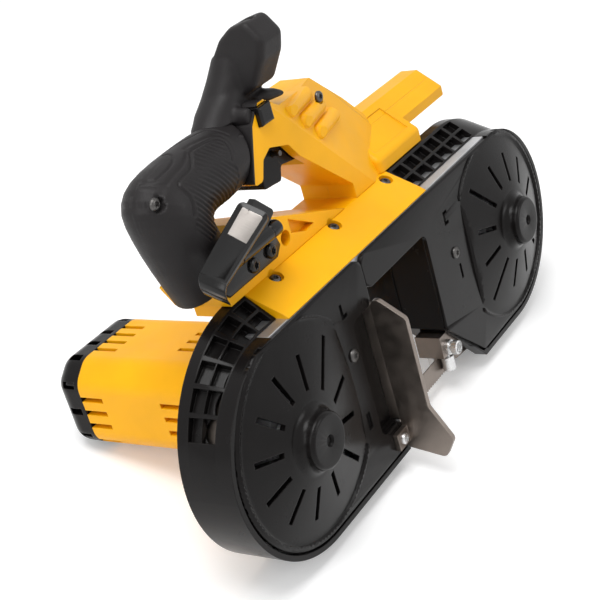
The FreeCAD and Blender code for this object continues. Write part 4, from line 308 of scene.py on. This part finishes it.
def metal(name, colour, stain, stretch, rough, bump):
    values = {
        "Color": (*colour, 1),
        "Stain Color": (*stain, 1),
        "Line Stretch": stretch,
        "Rough Low": rough[0],
        "Rough High": rough[1],
    }
    return finish_material(name, BRUSHED, values, bump, metallic=1.0)


YELLOW = plastic_values((0.90, 0.43, 0.001), (0.97, 0.62, 0.05), 1500.0, (0.36, 0.46), 0.30)
RUBBER = plastic_values((0.0145, 0.0128, 0.0132), (0.06, 0.056, 0.056), 1100.0, (0.42, 0.54), 0.20)
BLACK = plastic_values((0.0065, 0.0056, 0.0055), (0.06, 0.055, 0.052), 1300.0, (0.18, 0.28), 0.34)
GLOSS = plastic_values((0.0055, 0.0052, 0.0052), (0.05, 0.048, 0.047), 1400.0, (0.14, 0.22), 0.25)
TYRE = plastic_values((0.018, 0.017, 0.017), (0.06, 0.06, 0.06), 1200.0, (0.60, 0.75), 0.30)
SHOT_STEP = 1.5
YELLOW_SPECULAR = 0.22


def two_shot_plastic(name):
    """Yellow plastic with the soft black shot where its mask says."""
    material, shader, place = start_material(name, specular=YELLOW_SPECULAR)
    tree = material.node_tree
    hard = add_skin(tree, MOULDED, YELLOW, place)
    soft = add_skin(tree, MOULDED, RUBBER, place)
    mask = add_skin(tree, SECOND_SHOT, {}, place).outputs["Mask"]
    colour = blend_colours(tree, mask, hard.outputs["Color"], soft.outputs["Color"])
    wire(tree, colour, shader.inputs["Base Color"])
    rough = add_node(tree, "ShaderNodeMix", data_type="FLOAT")
    wire(tree, mask, rough.inputs["Factor"])
    wire(tree, hard.outputs["Roughness"], rough.inputs["A"])
    wire(tree, soft.outputs["Roughness"], rough.inputs["B"])
    wire(tree, rough.outputs["Result"], shader.inputs["Roughness"])
    step = calc(tree, "MULTIPLY", mask, SHOT_STEP)
    add_relief(tree, calc(tree, "ADD", hard.outputs["Height"], step), shader, 0.15)
    return material


MATERIALS = {
    "yellow_plastic": finish_material(
        "yellow_plastic", MOULDED, YELLOW, 0.12, specular=YELLOW_SPECULAR
    ),
    "handle_plastic": two_shot_plastic("handle_plastic"),
    "black_plastic": finish_material("black_plastic", MOULDED, BLACK, 0.10, specular=0.13),
    "gloss_black": finish_material("gloss_black", MOULDED, GLOSS, 0.05, specular=0.28),
    "grip_rubber": finish_material("grip_rubber", MOULDED, RUBBER, 0.22, specular=0.2),
    "tyre_rubber": finish_material("tyre_rubber", MOULDED, TYRE, 0.20, specular=0.4),
    "cast_aluminium": metal(
        "cast_aluminium", (0.60, 0.60, 0.61), (0.36, 0.36, 0.37),
        (900.0, 900.0, 900.0), (0.38, 0.55), 0.18
    ),
    "dark_steel": metal(
        "dark_steel", (0.10, 0.096, 0.093), (0.05, 0.047, 0.045),
        (120.0, 120.0, 2600.0), (0.26, 0.40), 0.10
    ),
    "stop_steel": metal(
        "stop_steel", (0.24, 0.205, 0.18), (0.205, 0.172, 0.15),
        (2600.0, 160.0, 160.0), (0.34, 0.46), 0.12
    ),
    "tray_steel": metal(
        "tray_steel", (0.33, 0.305, 0.285), (0.27, 0.25, 0.235),
        (2200.0, 140.0, 140.0), (0.40, 0.55), 0.08
    ),
    "bright_steel": metal(
        "bright_steel", (0.66, 0.66, 0.66), (0.42, 0.41, 0.40),
        (2400.0, 120.0, 120.0), (0.22, 0.38), 0.10
    ),
}


# Every node takes the finish of its slot, and a few have one of their own
OWN_FINISH = {
    "handle_shell_front": "handle_plastic",
    "handle_shell_rear": "handle_plastic",
    "material_stop": "stop_steel",
    "saw_blade": "stop_steel",
    "hook_bracket": "gloss_black",
    "hang_hook": "gloss_black",
    "lock_button": "gloss_black",
    "right_guide": "stop_steel",
    "trigger_pin": "dark_steel",
    "hook_pin": "dark_steel",
}
for row in frame["record"]["subparts"]:
    skin_slots = nodes[row["node"]].data.materials
    skin_slots.clear()
    skin_slots.append(MATERIALS[OWN_FINISH.get(row["node"], row["material_slot"])])


# Modelling helpers; places are given in the saw's own axes, in millimetres, before it leans back
OUTWARD = Vector((-0.2, -0.7, 0.7))


def only(piece):
    bpy.ops.object.select_all(action="DESELECT")
    piece.select_set(True)
    bpy.context.view_layer.objects.active = piece


def edit(piece):
    """Open a piece in edit mode with all of it selected."""
    only(piece)
    bpy.ops.object.mode_set(mode="EDIT")
    bpy.ops.mesh.select_all(action="SELECT")


def leave():
    bpy.ops.object.mode_set(mode="OBJECT")


def pick(piece, kind, test):
    """Select the faces or edges of a piece in edit mode that pass a test."""
    bpy.ops.mesh.select_mode(type=kind)
    bpy.ops.mesh.select_all(action="DESELECT")
    shape = bmesh.from_edit_mesh(piece.data)
    for item in shape.faces if kind == "FACE" else shape.edges:
        if test(item):
            item.select_set(True)
    shape.select_flush_mode()
    bmesh.update_edit_mesh(piece.data)


def copy_node(node, name):
    """A merged copy of a solid's mesh, to be worked on."""
    piece = bpy.data.objects.new(name, nodes[node].data.copy())
    scene.collection.objects.link(piece)
    edit(piece)
    bpy.ops.mesh.remove_doubles(threshold=SAME_POINT)
    leave()
    return piece


def soften(piece, grain, passes):
    """Remesh a piece evenly and smooth it to one soft moulding."""
    piece.data.remesh_voxel_size = grain
    only(piece)
    bpy.ops.object.voxel_remesh()
    edit(piece)
    bpy.ops.mesh.vertices_smooth(factor=0.5, repeat=passes)
    leave()
    bpy.ops.object.shade_smooth()


def draw_out(step):
    """Extrude what is selected by a step."""
    bpy.ops.mesh.extrude_region_move(TRANSFORM_OT_translate={"value": step})


def wave_ring(piece, reach, wave, count):
    """Set the selected corners on a round line about the upright axis, with waves in it."""
    shape = bmesh.from_edit_mesh(piece.data)
    for corner in [v for v in shape.verts if v.select]:
        angle = math.atan2(corner.co.y, corner.co.x)
        length = reach + wave * math.cos(count * angle)
        corner.co.x = length * math.cos(angle)
        corner.co.y = length * math.sin(angle)
    bmesh.update_edit_mesh(piece.data)


def settle():
    """Set the selected pieces' places, turns and sizes into their meshes."""
    bpy.ops.object.transform_apply(location=True, rotation=True, scale=True)


def lean_back(piece):
    """Turn and shift a piece from the saw's own axes to its rest."""
    only(piece)
    piece.rotation_euler = (-LEAN, 0, 0)
    piece.location = REST
    settle()


def join_all(pieces):
    """Join pieces to the first of them."""
    only(pieces[0])
    for piece in pieces[1:]:
        piece.select_set(True)
    if len(pieces) > 1:
        bpy.ops.object.join()
    return pieces[0]


def cut_away(piece, tool):
    """Take a tool's volume out of a piece, and remove the tool."""
    cut = piece.modifiers.new("cut", "BOOLEAN")
    cut.operation = "DIFFERENCE"
    cut.solver = "EXACT"
    cut.object = tool
    only(piece)
    bpy.ops.object.modifier_apply(modifier=cut.name)
    bpy.data.objects.remove(tool)


def round_piece(piece, width, segments, angle):
    """Round every edge that is sharper than an angle, in degrees."""
    soft = piece.modifiers.new("edge_round", "BEVEL")
    soft.width = width * MM
    soft.segments = segments
    soft.limit_method = "ANGLE"
    soft.angle_limit = math.radians(angle)
    only(piece)
    bpy.ops.object.modifier_apply(modifier=soft.name)
    bpy.ops.object.shade_smooth_by_angle(angle=math.radians(35))


def paint(piece, finish):
    piece.data.materials.clear()
    piece.data.materials.append(finish)


def hand_over(piece, body, slot, *replaced):
    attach(piece, body)
    if replaced:
        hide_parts(*replaced)


# Rear grip: a soft overmould with grooves drawn on it and a ribbed panel on its side
PANEL = (
    (-6.5, 22.9, 122.7), (-5.7, 22.9, 124.9), (-4.8, 23.2, 128.1), (-4.5, 24.0, 131.6),
    (-5.7, 25.4, 135.3), (-6.4, 26.8, 137.9), (-4.8, 27.8, 139.5), (-2.4, 27.8, 140.0),
    (4.9, 28.0, 140.9), (7.9, 28.4, 141.6), (11.5, 30.3, 143.8), (15.5, 33.2, 146.1),
    (18.2, 33.8, 146.6), (23.3, 33.3, 146.4), (29.9, 32.5, 146.0), (34.5, 31.7, 145.4),
    (36.3, 30.8, 144.5), (37.8, 28.9, 142.5), (37.5, 27.0, 139.9), (36.3, 25.7, 137.1),
    (34.1, 24.8, 133.8),
)
PANEL_FOOT = ((36, 124), (32, 112), (0, 106), (-8, 116))
BORDER = (
    (16.1, 36.8, 147.8), (20.9, 36.5, 147.9), (26.6, 35.3, 147.5), (32.7, 34.2, 147.0),
    (36.9, 33.1, 146.2), (38.9, 31.3, 144.8), (39.7, 28.9, 142.5), (39.6, 26.9, 139.5),
    (38.1, 25.3, 135.8),
)
STEP = (
    (16.2, 35.2, 147.2), (10.5, 32.3, 145.3), (5.2, 30.8, 143.9), (-1.7, 30.3, 142.9),
    (-7.3, 30.2, 141.8), (-11.1, 30.1, 140.7), (-14.6, 33.1, 141.9), (-17.5, 39.4, 143.4),
)
SEAM = (
    (12.0, 47.5, 148.2), (19.9, 45.0, 148.5), (27.2, 42.1, 149.0), (35.0, 40.3, 148.8),
    (39.0, 38.9, 148.4), (40.2, 36.8, 147.8), (41.3, 33.7, 146.3), (42.9, 30.1, 143.6),
)
CAP = (
    (-17.3, 41.3, 143.7), (-15.1, 40.8, 144.6), (-14.1, 37.4, 144.3), (-12.3, 34.7, 143.9),
    (-8.2, 34.0, 144.4), (-2.3, 33.8, 145.3), (2.8, 34.6, 146.2), (5.7, 36.1, 147.1),
    (8.1, 38.8, 148.0), (8.9, 41.8, 148.3), (7.9, 44.2, 148.1),
)
# Each groove's line, depth and width
GROOVES = (
    (PANEL, 0.9, 0.8), (BORDER, 0.45, 1.0), (STEP, 0.5, 1.1), (SEAM, 0.5, 0.6), (CAP, 0.6, 0.6),
)
RIB_PITCH = 2.4
RIB_DEPTH = 0.55
RIB_ACROSS = (0.727, 0.687)
RIB_WAVE = 0.35
RIB_WAVE_RATE = 0.25
RIB_MARGIN = 1.6
RIB_FADE = 1.2
GROOVES_BACK = 52
GROOVES_FOOT = 104
RIBS_BACK = 36
FAR = 9.0


def line_distance(point, line):
    """The distance from a point to a line of points, up to a few millimetres."""
    nearest = FAR
    for start, end in line:
        run = end - start
        share = max(0.0, min(1.0, (point - start).dot(run) / run.length_squared))
        nearest = min(nearest, (point - start - run * share).length)
    return nearest


def inside(x, z, outline):
    """Whether a place lies inside an outline, seen from the saw's front."""
    held = False
    for (ax, az), (bx, bz) in zip(outline, outline[1:] + outline[:1]):
        if (az > z) != (bz > z) and x < ax + (bx - ax) * (z - az) / (bz - az):
            held = not held
    return held


def carve_grip(piece):
    lines = []
    for points, depth, width in GROOVES:
        corners = [Vector(point) for point in points]
        lines.append((list(zip(corners, corners[1:])), depth, width))
    outline = [(x, z) for x, _, z in PANEL] + list(PANEL_FOOT)
    moves = []
    for vertex in piece.data.vertices:
        place = saw_place(vertex.co)
        if place.y > GROOVES_BACK or place.z < GROOVES_FOOT:
            continue
        distances = [line_distance(place, line) for line, _, _ in lines]
        sink = sum(
            depth * math.exp(-((distance / width) ** 2))
            for distance, (_, depth, width) in zip(distances, lines)
        )
        if place.y < RIBS_BACK and inside(place.x, place.z, outline):
            fade = max(0.0, min(1.0, (distances[0] - RIB_MARGIN) / RIB_FADE))
            wave = RIB_WAVE * math.sin(place.x * RIB_WAVE_RATE)
            across = place.x * RIB_ACROSS[0] + place.z * RIB_ACROSS[1] + wave
            sink += RIB_DEPTH * fade * (0.5 - 0.5 * math.cos(math.tau * across / RIB_PITCH))
        if sink > 0.01:
            moves.append((vertex, vertex.normal * (-sink * MM)))
    for vertex, move in moves:
        vertex.co += move


grip = copy_node("rear_grip", "grip_overmould")
soften(grip, 0.55 * MM, 6)
carve_grip(grip)
paint(grip, MATERIALS["grip_rubber"])
hand_over(grip, "root", "grip_rubber", "rear_grip")

# Front knob: the solid head with a neck, a wing and a wedge, blended into one soft moulding
# Each ring's middle and its two half widths
NECK_RINGS = (
    (60.0, 45.0, 146.0, 23.0, 13.0),
    (63.0, 45.0, 152.0, 19.0, 12.5),
    (68.0, 43.5, 160.0, 13.5, 12.0),
    (71.5, 41.0, 168.0, 11.0, 11.5),
    (73.5, 39.0, 176.0, 9.0, 10.0),
)
WING_RINGS = (
    (74.0, 37.0, 149.0, 4.5, 6.5),
    (80.0, 33.0, 150.0, 4.0, 6.0),
    (86.0, 29.5, 149.0, 3.0, 4.5),
    (90.5, 27.0, 147.5, 1.6, 2.2),
)
WEDGE_RINGS = (
    (57.6, 25.0, 147.0, 3.2, 4.5),
    (57.6, 30.0, 147.0, 3.6, 5.0),
    (57.6, 36.0, 147.5, 4.2, 5.5),
    (58.5, 44.0, 148.5, 5.0, 6.0),
)
RING_CORNERS = 40


def lofted(rings, turn):
    """A rod drawn out ring by ring in the saw's own axes; the ring's flat side follows the turn."""
    bpy.ops.object.select_all(action="DESELECT")
    first = Vector(rings[0][:3]) * MM
    bpy.ops.mesh.primitive_circle_add(
        vertices=RING_CORNERS, radius=MM, fill_type="NGON", location=first, rotation=turn
    )
    piece = bpy.context.object
    settle()
    bpy.ops.object.mode_set(mode="EDIT")
    across = Vector((1, 0, 0)) if turn[1] == 0 else Vector((0, 0, 1))
    upward = Vector((0, 1, 0)) if turn[0] == 0 else Vector((0, 0, 1))
    for index, (x, y, z, half_a, half_b) in enumerate(rings):
        middle = Vector((x, y, z)) * MM
        if index:
            draw_out(middle - Vector(rings[index - 1][:3]) * MM)
        shape = bmesh.from_edit_mesh(piece.data)
        for corner in [v for v in shape.verts if v.select]:
            reach = corner.co - middle
            length = max(reach.length, 1e-9)
            side = across * (reach.dot(across) / length * half_a * MM)
            corner.co = middle + side + upward * (reach.dot(upward) / length * half_b * MM)
        bmesh.update_edit_mesh(piece.data)
    bpy.ops.mesh.select_all(action="SELECT")
    bpy.ops.mesh.normals_make_consistent(inside=False)
    leave()
    lean_back(piece)
    return piece


def clear_path(piece, node, travel, room):
    """Cut a moving solid's path, with some room round it, out of a piece."""
    path = copy_node(node, "path")
    edit(path)
    bpy.ops.mesh.duplicate_move(TRANSFORM_OT_translate={"value": travel})
    bpy.ops.mesh.select_all(action="SELECT")
    bpy.ops.mesh.convex_hull()
    bpy.ops.mesh.select_all(action="SELECT")
    bpy.ops.mesh.normals_make_consistent(inside=False)
    bpy.ops.transform.shrink_fatten(value=room)
    leave()
    cut_away(piece, path)


QUARTER_TURN = math.radians(90)
LOCK_TRAVEL = 3.4 * MM
LOCK_ROOM = 0.4 * MM
neck = lofted(NECK_RINGS, (0, 0, 0))
wing = lofted(WING_RINGS, (0, QUARTER_TURN, 0))
wedge = lofted(WEDGE_RINGS, (QUARTER_TURN, 0, 0))
knob = join_all([copy_node("front_knob", "knob_overmould"), neck, wing, wedge])
soften(knob, 0.7 * MM, 16)
clear_path(knob, "lock_button", FRONT * -LOCK_TRAVEL, LOCK_ROOM)
paint(knob, MATERIALS["grip_rubber"])
hand_over(knob, "root", "black_plastic", "front_knob")

# Trigger: every edge moulded round
trigger = copy_node("trigger", "trigger_moulding")
soften(trigger, 0.4 * MM, 8)
paint(trigger, MATERIALS["black_plastic"])
hand_over(trigger, "trigger", "black_plastic", "trigger")


# Hang hook: a tray with a raised rim round a plain plate, carried by the solid's knuckle and leaf
TRAY_CORNERS = ((-20.2, 19.0, 100.0), (23.8, 19.0, 117.1), (24.4, 4.0, 109.0), (-21.4, 4.0, 95.0))
TRAY_THICKNESS = 3.0
TRAY_CORNER_ROUND = 3.5
TRAY_RIM = 2.6
TRAY_SINK = 1.3
PLATE_EDGE = ((2.7, 4.0, 105.2), (5.4, 19.0, 108.8))
CURL_STEPS = ((-2.2, 0.0, -2.6), (-0.6, 0.0, -3.6), (1.6, 0.0, -3.2))
TIP_START = 15.0
TRAY_TOP_AREA = 0.0002
PLATE_AREA = 0.00005
LEAF_BITE = 0.6


def model_tray():
    bpy.ops.object.select_all(action="DESELECT")
    bpy.ops.mesh.primitive_plane_add(size=MM, location=(0, 0, 0))
    tray = bpy.context.object
    corners = [Vector(corner) * MM for corner in TRAY_CORNERS]
    up = (corners[1] - corners[0]).cross(corners[3] - corners[0]).normalized()
    if up.z < 0:
        up = -up
    for vertex, corner in zip([tray.data.vertices[i] for i in (0, 1, 3, 2)], corners):
        vertex.co = corner
    bpy.ops.object.mode_set(mode="EDIT")
    bpy.ops.mesh.select_all(action="SELECT")
    draw_out(-up * TRAY_THICKNESS * MM)
    bpy.ops.mesh.select_all(action="SELECT")
    bpy.ops.mesh.normals_make_consistent(inside=False)
    pick(tray, "FACE", lambda face: face.normal.x < -0.8)
    for step in CURL_STEPS:
        draw_out(Vector(step) * MM)

    def tip_edge(edge):
        run = (edge.verts[0].co - edge.verts[1].co).normalized()
        return abs(run.dot(up)) > 0.95 and min(v.co.x for v in edge.verts) > TIP_START * MM

    def faces_up(face):
        return face.normal.dot(up) > 0.98

    pick(tray, "EDGE", tip_edge)
    bpy.ops.mesh.bevel(offset=TRAY_CORNER_ROUND * MM, segments=4, affect="EDGES")
    pick(tray, "FACE", lambda face: faces_up(face) and face.calc_area() > TRAY_TOP_AREA)
    bpy.ops.mesh.inset(thickness=TRAY_RIM * MM, depth=-TRAY_SINK * MM)
    tray.data.materials.append(MATERIALS["gloss_black"])
    tray.data.materials.append(MATERIALS["tray_steel"])
    start, end = (Vector(point) * MM for point in PLATE_EDGE)
    bpy.ops.mesh.bisect(plane_co=start, plane_no=(end - start).cross(up).normalized())
    faces = bmesh.from_edit_mesh(tray.data).faces
    top = max(face.calc_center_median().dot(up) for face in faces if faces_up(face))

    def plate_face(face):
        middle = face.calc_center_median()
        sunk = middle.dot(up) < top - TRAY_SINK * MM / 2
        return faces_up(face) and sunk and middle.x > start.x and face.calc_area() > PLATE_AREA

    pick(tray, "FACE", plate_face)
    tray.active_material_index = 1
    bpy.ops.object.material_slot_assign()
    leave()
    return tray, up


tray, tray_up = model_tray()
lean_back(tray)
round_piece(tray, 0.7, 3, 40)
under = on_frame(Vector(TRAY_CORNERS[0]) - tray_up * (TRAY_THICKNESS - LEAF_BITE))
leaf = copy_node("hang_hook", "hook_leaf")
paint(leaf, MATERIALS["gloss_black"])
edit(leaf)
bpy.ops.mesh.bisect(plane_co=under, plane_no=turn_back(tray_up), use_fill=True, clear_outer=True)
leave()
hook = join_all([tray, leaf])
hook.name = "hook_tray"
hand_over(hook, "hook", "dark_steel", "hang_hook")

bracket = copy_node("hook_bracket", "hook_boot")
edit(bracket)
bpy.ops.mesh.dissolve_limited(angle_limit=math.radians(2))
leave()
round_piece(bracket, 0.9, 3, 50)
paint(bracket, MATERIALS["gloss_black"])
hand_over(bracket, "root", "dark_steel", "hook_bracket")


# Throat: the stop's inner leaf and the liner behind the right cheek
def model_plate(name, span_x, span_y, span_z, corner):
    """A flat plate across the throat with rounded corners and softened edges."""
    bpy.ops.object.select_all(action="DESELECT")
    middle = Vector((sum(span_x), sum(span_y), sum(span_z))) / 2 * MM
    bpy.ops.mesh.primitive_cube_add(size=MM, location=middle)
    plate = bpy.context.object
    plate.name = name
    plate.scale = (span_x[1] - span_x[0], span_y[1] - span_y[0], span_z[1] - span_z[0])
    settle()
    bpy.ops.object.mode_set(mode="EDIT")

    def runs_across(edge):
        return abs((edge.verts[0].co - edge.verts[1].co).normalized().x) > 0.9

    pick(plate, "EDGE", runs_across)
    bpy.ops.mesh.bevel(offset=corner * MM, segments=4, affect="EDGES")
    leave()
    lean_back(plate)
    round_piece(plate, 0.3, 2, 40)
    return plate


stop_leaf = model_plate("stop_leaf", (79.1, 81.9), (-1.0, 24.0), (-43.5, 30.0), 2.0)
paint(stop_leaf, MATERIALS["stop_steel"])
hand_over(stop_leaf, "root", "dark_steel")
cheek_liner = model_plate("cheek_liner", (149.2, 151.2), (28.5, 50.0), (-34.0, 24.0), 4.0)
paint(cheek_liner, MATERIALS["black_plastic"])
hand_over(cheek_liner, "root", "black_plastic")

# Covers: latch slots sunk into the front, each a span along X and one along Z
LATCH_SLOTS = {
    "left_cover": (
        ((52.0, 54.2), (34.5, 43.0)), ((54.1, 57.5), (34.5, 36.7)), ((49.0, 53.5), (-31.5, -21.5)),
    ),
    "right_cover": (
        ((174.0, 176.0), (30.5, 39.0)), ((175.9, 179.0), (37.0, 39.0)),
        ((175.9, 179.0), (30.5, 32.5)), ((179.5, 181.7), (-7.0, 2.5)),
    ),
}
SLOT_SINK = (-4.0, 1.6)


for node, slots in LATCH_SLOTS.items():
    face = copy_node(node, node + "_face")
    paint(face, MATERIALS["black_plastic"])
    for span_x, span_z in slots:
        cut_away(face, model_plate("slot", span_x, SLOT_SINK, span_z, 0.4))
    only(face)
    bpy.ops.object.shade_smooth_by_angle(angle=math.radians(30))
    flats = face.modifiers.new("flat_faces", "WEIGHTED_NORMAL")
    flats.weight = 100
    flats.keep_sharp = True
    bpy.ops.object.modifier_apply(modifier=flats.name)
    hand_over(face, "root", "black_plastic", node)

# Guide bolt: a collar and a knurled head on the guide's front
BOLT_PLACE = (153.0, 5.0, -39.5)
BOLT_KNURLS = 18
COLLAR_RADIUS = 4.6 * MM
COLLAR_HEIGHT = 2.4 * MM
SHANK_INSET = 1.1 * MM
SHANK_HEIGHT = 1.2 * MM
HEAD_SLOPE = 0.4 * MM
HEAD_RADIUS = 4.1 * MM
HEAD_HEIGHT = 3.4 * MM
KNURL_DEPTH = 0.22 * MM
CROWN_INSET = 0.5 * MM
DIMPLE = 1.2 * MM


def model_bolt():
    """A bolt head facing up: a round collar, a step, and a knurled head with a sunk middle."""
    bpy.ops.object.select_all(action="DESELECT")
    bpy.ops.mesh.primitive_cylinder_add(
        vertices=BOLT_KNURLS * 4, radius=COLLAR_RADIUS, depth=COLLAR_HEIGHT,
        location=(0, 0, COLLAR_HEIGHT / 2),
    )
    bolt = bpy.context.object
    settle()
    bpy.ops.object.mode_set(mode="EDIT")
    pick(bolt, "FACE", lambda face: face.normal.z > 0.9)
    bpy.ops.mesh.inset(thickness=SHANK_INSET)
    draw_out((0, 0, SHANK_HEIGHT))
    draw_out((0, 0, HEAD_SLOPE))
    wave_ring(bolt, HEAD_RADIUS, KNURL_DEPTH, BOLT_KNURLS)
    draw_out((0, 0, HEAD_HEIGHT))
    bpy.ops.mesh.inset(thickness=CROWN_INSET)
    bpy.ops.transform.translate(value=(0, 0, HEAD_SLOPE))
    bpy.ops.mesh.inset(thickness=DIMPLE)
    draw_out((0, 0, -DIMPLE))
    leave()
    bpy.ops.object.shade_smooth_by_angle(angle=math.radians(30))
    return bolt


bolt = model_bolt()
bolt.name = "guide_bolt"
bolt.rotation_euler = FRONT.to_track_quat("Z", "Y").to_euler()
bolt.location = on_frame(BOLT_PLACE)
only(bolt)
settle()
paint(bolt, MATERIALS["bright_steel"])
hand_over(bolt, "root", "bright_steel")


# Screws: a domed head with a six-lobed socket, modelled once and copied to each place
# The head is drawn one unit wide and tall: (inset, rise) for each step of the dome, and the socket
DOME_STEPS = ((0.0, -0.45), (0.14, 0.28), (0.26, 0.17))
DOME_CORNERS = 72
SOCKET_INSET = 0.10
SOCKET_LOBES = 6
SOCKET_REACH = 0.44
LOBE_DEPTH = 0.085
SOCKET_DEPTH = 0.55


def model_head():
    bpy.ops.object.select_all(action="DESELECT")
    bpy.ops.mesh.primitive_cylinder_add(
        vertices=DOME_CORNERS, radius=1.0, depth=1.0, location=(0, 0, 0.5)
    )
    head = bpy.context.object
    bpy.ops.object.mode_set(mode="EDIT")
    pick(head, "FACE", lambda face: face.normal.z > 0.9)
    for inset, rise in DOME_STEPS:
        if inset:
            bpy.ops.mesh.inset(thickness=inset)
        bpy.ops.transform.translate(value=(0, 0, rise))
    bpy.ops.mesh.inset(thickness=SOCKET_INSET)
    wave_ring(head, SOCKET_REACH, LOBE_DEPTH, SOCKET_LOBES)
    draw_out((0, 0, -SOCKET_DEPTH))
    leave()
    settle()
    bpy.ops.object.shade_smooth_by_angle(angle=math.radians(35))
    return head


def islands(mesh):
    """The separate lumps of a merged mesh, as lists of corner places."""
    shape = bmesh.new()
    shape.from_mesh(mesh)
    bmesh.ops.remove_doubles(shape, verts=shape.verts, dist=SAME_POINT)
    left = set(shape.verts)
    lumps = []
    for first in shape.verts:
        if first not in left:
            continue
        left.remove(first)
        stack = [first]
        lump = []
        while stack:
            corner = stack.pop()
            lump.append(corner.co.copy())
            for edge in corner.link_edges:
                other = edge.other_vert(corner)
                if other in left:
                    left.remove(other)
                    stack.append(other)
        lumps.append(lump)
    shape.free()
    return lumps


def head_axis(node):
    """The outward direction of a node's screws: the normal of their largest flat faces."""
    def rank(face):
        return round(face.normal.dot(OUTWARD), 3), face.area

    return max(nodes[node].data.polygons, key=rank).normal.normalized()


def dress_screws(node, name, head, finish, slot, axis):
    """Copies of the head in the places of a node's screws, joined to one piece."""
    copies = []
    for lump in islands(nodes[node].data):
        middle = sum(lump, Vector()) / len(lump)
        heights = [(corner - middle).dot(axis) for corner in lump]
        radius = max(
            (corner - middle - axis * height).length for corner, height in zip(lump, heights)
        )
        copy = head.copy()
        copy.data = head.data.copy()
        scene.collection.objects.link(copy)
        copy.scale = (radius, radius, max(heights) - min(heights))
        copy.rotation_euler = axis.to_track_quat("Z", "Y").to_euler()
        copy.location = middle + axis * min(heights)
        copies.append(copy)
    bpy.ops.object.select_all(action="DESELECT")
    for copy in copies:
        copy.select_set(True)
    bpy.context.view_layer.objects.active = copies[0]
    settle()
    piece = join_all(copies)
    piece.name = name
    paint(piece, finish)
    hand_over(piece, "root", slot, node)


screw_model = model_head()
SLOPE = head_axis("beam_screws")
for node, finish, slot, axis in (
    ("beam_screws", "dark_steel", "dark_steel", SLOPE),
    ("cover_screws", "dark_steel", "dark_steel", FRONT),
    ("handle_screws", "dark_steel", "dark_steel", FRONT),
    ("hook_screws", "gloss_black", "dark_steel", FRONT),
    ("stop_screw", "bright_steel", "bright_steel", FRONT),
):
    dress_screws(node, node.rstrip("s") + "_heads", screw_model, MATERIALS[finish], slot, axis)
bpy.data.objects.remove(screw_model)


# Floor, light and camera
FLOOR_SIZE = 6.0
FLOOR_GLOW = 0.22


def seen_rays(tree):
    """One for a ray from the camera, a mirror or a glass, and zero for the light on surfaces."""
    path = add_node(tree, "ShaderNodeLightPath")
    glossy, clear = path.outputs["Is Glossy Ray"], path.outputs["Is Transmission Ray"]
    shiny = calc(tree, "MAXIMUM", glossy, clear)
    return calc(tree, "MAXIMUM", path.outputs["Is Camera Ray"], shiny)


bpy.ops.object.select_all(action="DESELECT")
bpy.ops.mesh.primitive_plane_add(size=FLOOR_SIZE, location=(0, 0, 0))
floor = bpy.context.object
floor.name = "floor"
paper = bpy.data.materials.new("floor_paper")
paper.use_nodes = True
paper_tree = paper.node_tree
paper_shader = paper_tree.nodes["Principled BSDF"]
paper_shader.inputs["Base Color"].default_value = (0.93, 0.93, 0.93, 1)
paper_shader.inputs["Roughness"].default_value = 0.85
paper_shader.inputs["Specular IOR Level"].default_value = 0.1
paper_shader.inputs["Emission Color"].default_value = (1, 1, 1, 1)
glow = calc(paper_tree, "MULTIPLY", seen_rays(paper_tree), FLOOR_GLOW)
wire(paper_tree, glow, paper_shader.inputs["Emission Strength"])
floor.data.materials.append(paper)

SKY_LIGHT = 0.55
world = bpy.data.worlds.new("studio")
scene.world = world
world.use_nodes = True
world_tree = world.node_tree
backdrop = world_tree.nodes["Background"]
backdrop.inputs["Color"].default_value = (1.0, 1.0, 1.0, 1)
sky = remap(world_tree, seen_rays(world_tree), 0.0, 1.0, SKY_LIGHT, 1.0)
wire(world_tree, sky, backdrop.inputs["Strength"])


def lamp(name, place, target, size, power):
    data = bpy.data.lights.new(name, "AREA")
    data.shape = "RECTANGLE"
    data.size, data.size_y = size
    data.energy = power
    light = bpy.data.objects.new(name, data)
    light.location = place
    light.rotation_euler = (Vector(target) - Vector(place)).to_track_quat("-Z", "Y").to_euler()
    scene.collection.objects.link(light)


lamp("top_softbox", (-0.35, 0.1, 1.3), (0.0, 0.0, 0.1), (0.7, 0.7), 11.0)
lamp("left_softbox", (-1.3, 0.3, 0.9), (0.0, 0.0, 0.12), (0.5, 0.9), 4.2)
lamp("right_softbox", (0.5, -1.3, 0.9), (0.05, 0.0, 0.1), (0.4, 0.8), 4.0)

camera_data = bpy.data.cameras.new("photo_camera")
camera_data.lens = 78.3
camera_data.sensor_width = 36.0
camera_data.clip_start = 0.01
camera = bpy.data.objects.new("photo_camera", camera_data)
camera.location = (-0.5599, -0.3157, 0.4854)
camera.rotation_euler = Vector((0.718, 0.4256, -0.5508)).to_track_quat("-Z", "Y").to_euler()
scene.collection.objects.link(camera)
scene.camera = camera
scene.view_settings.view_transform = "Standard"
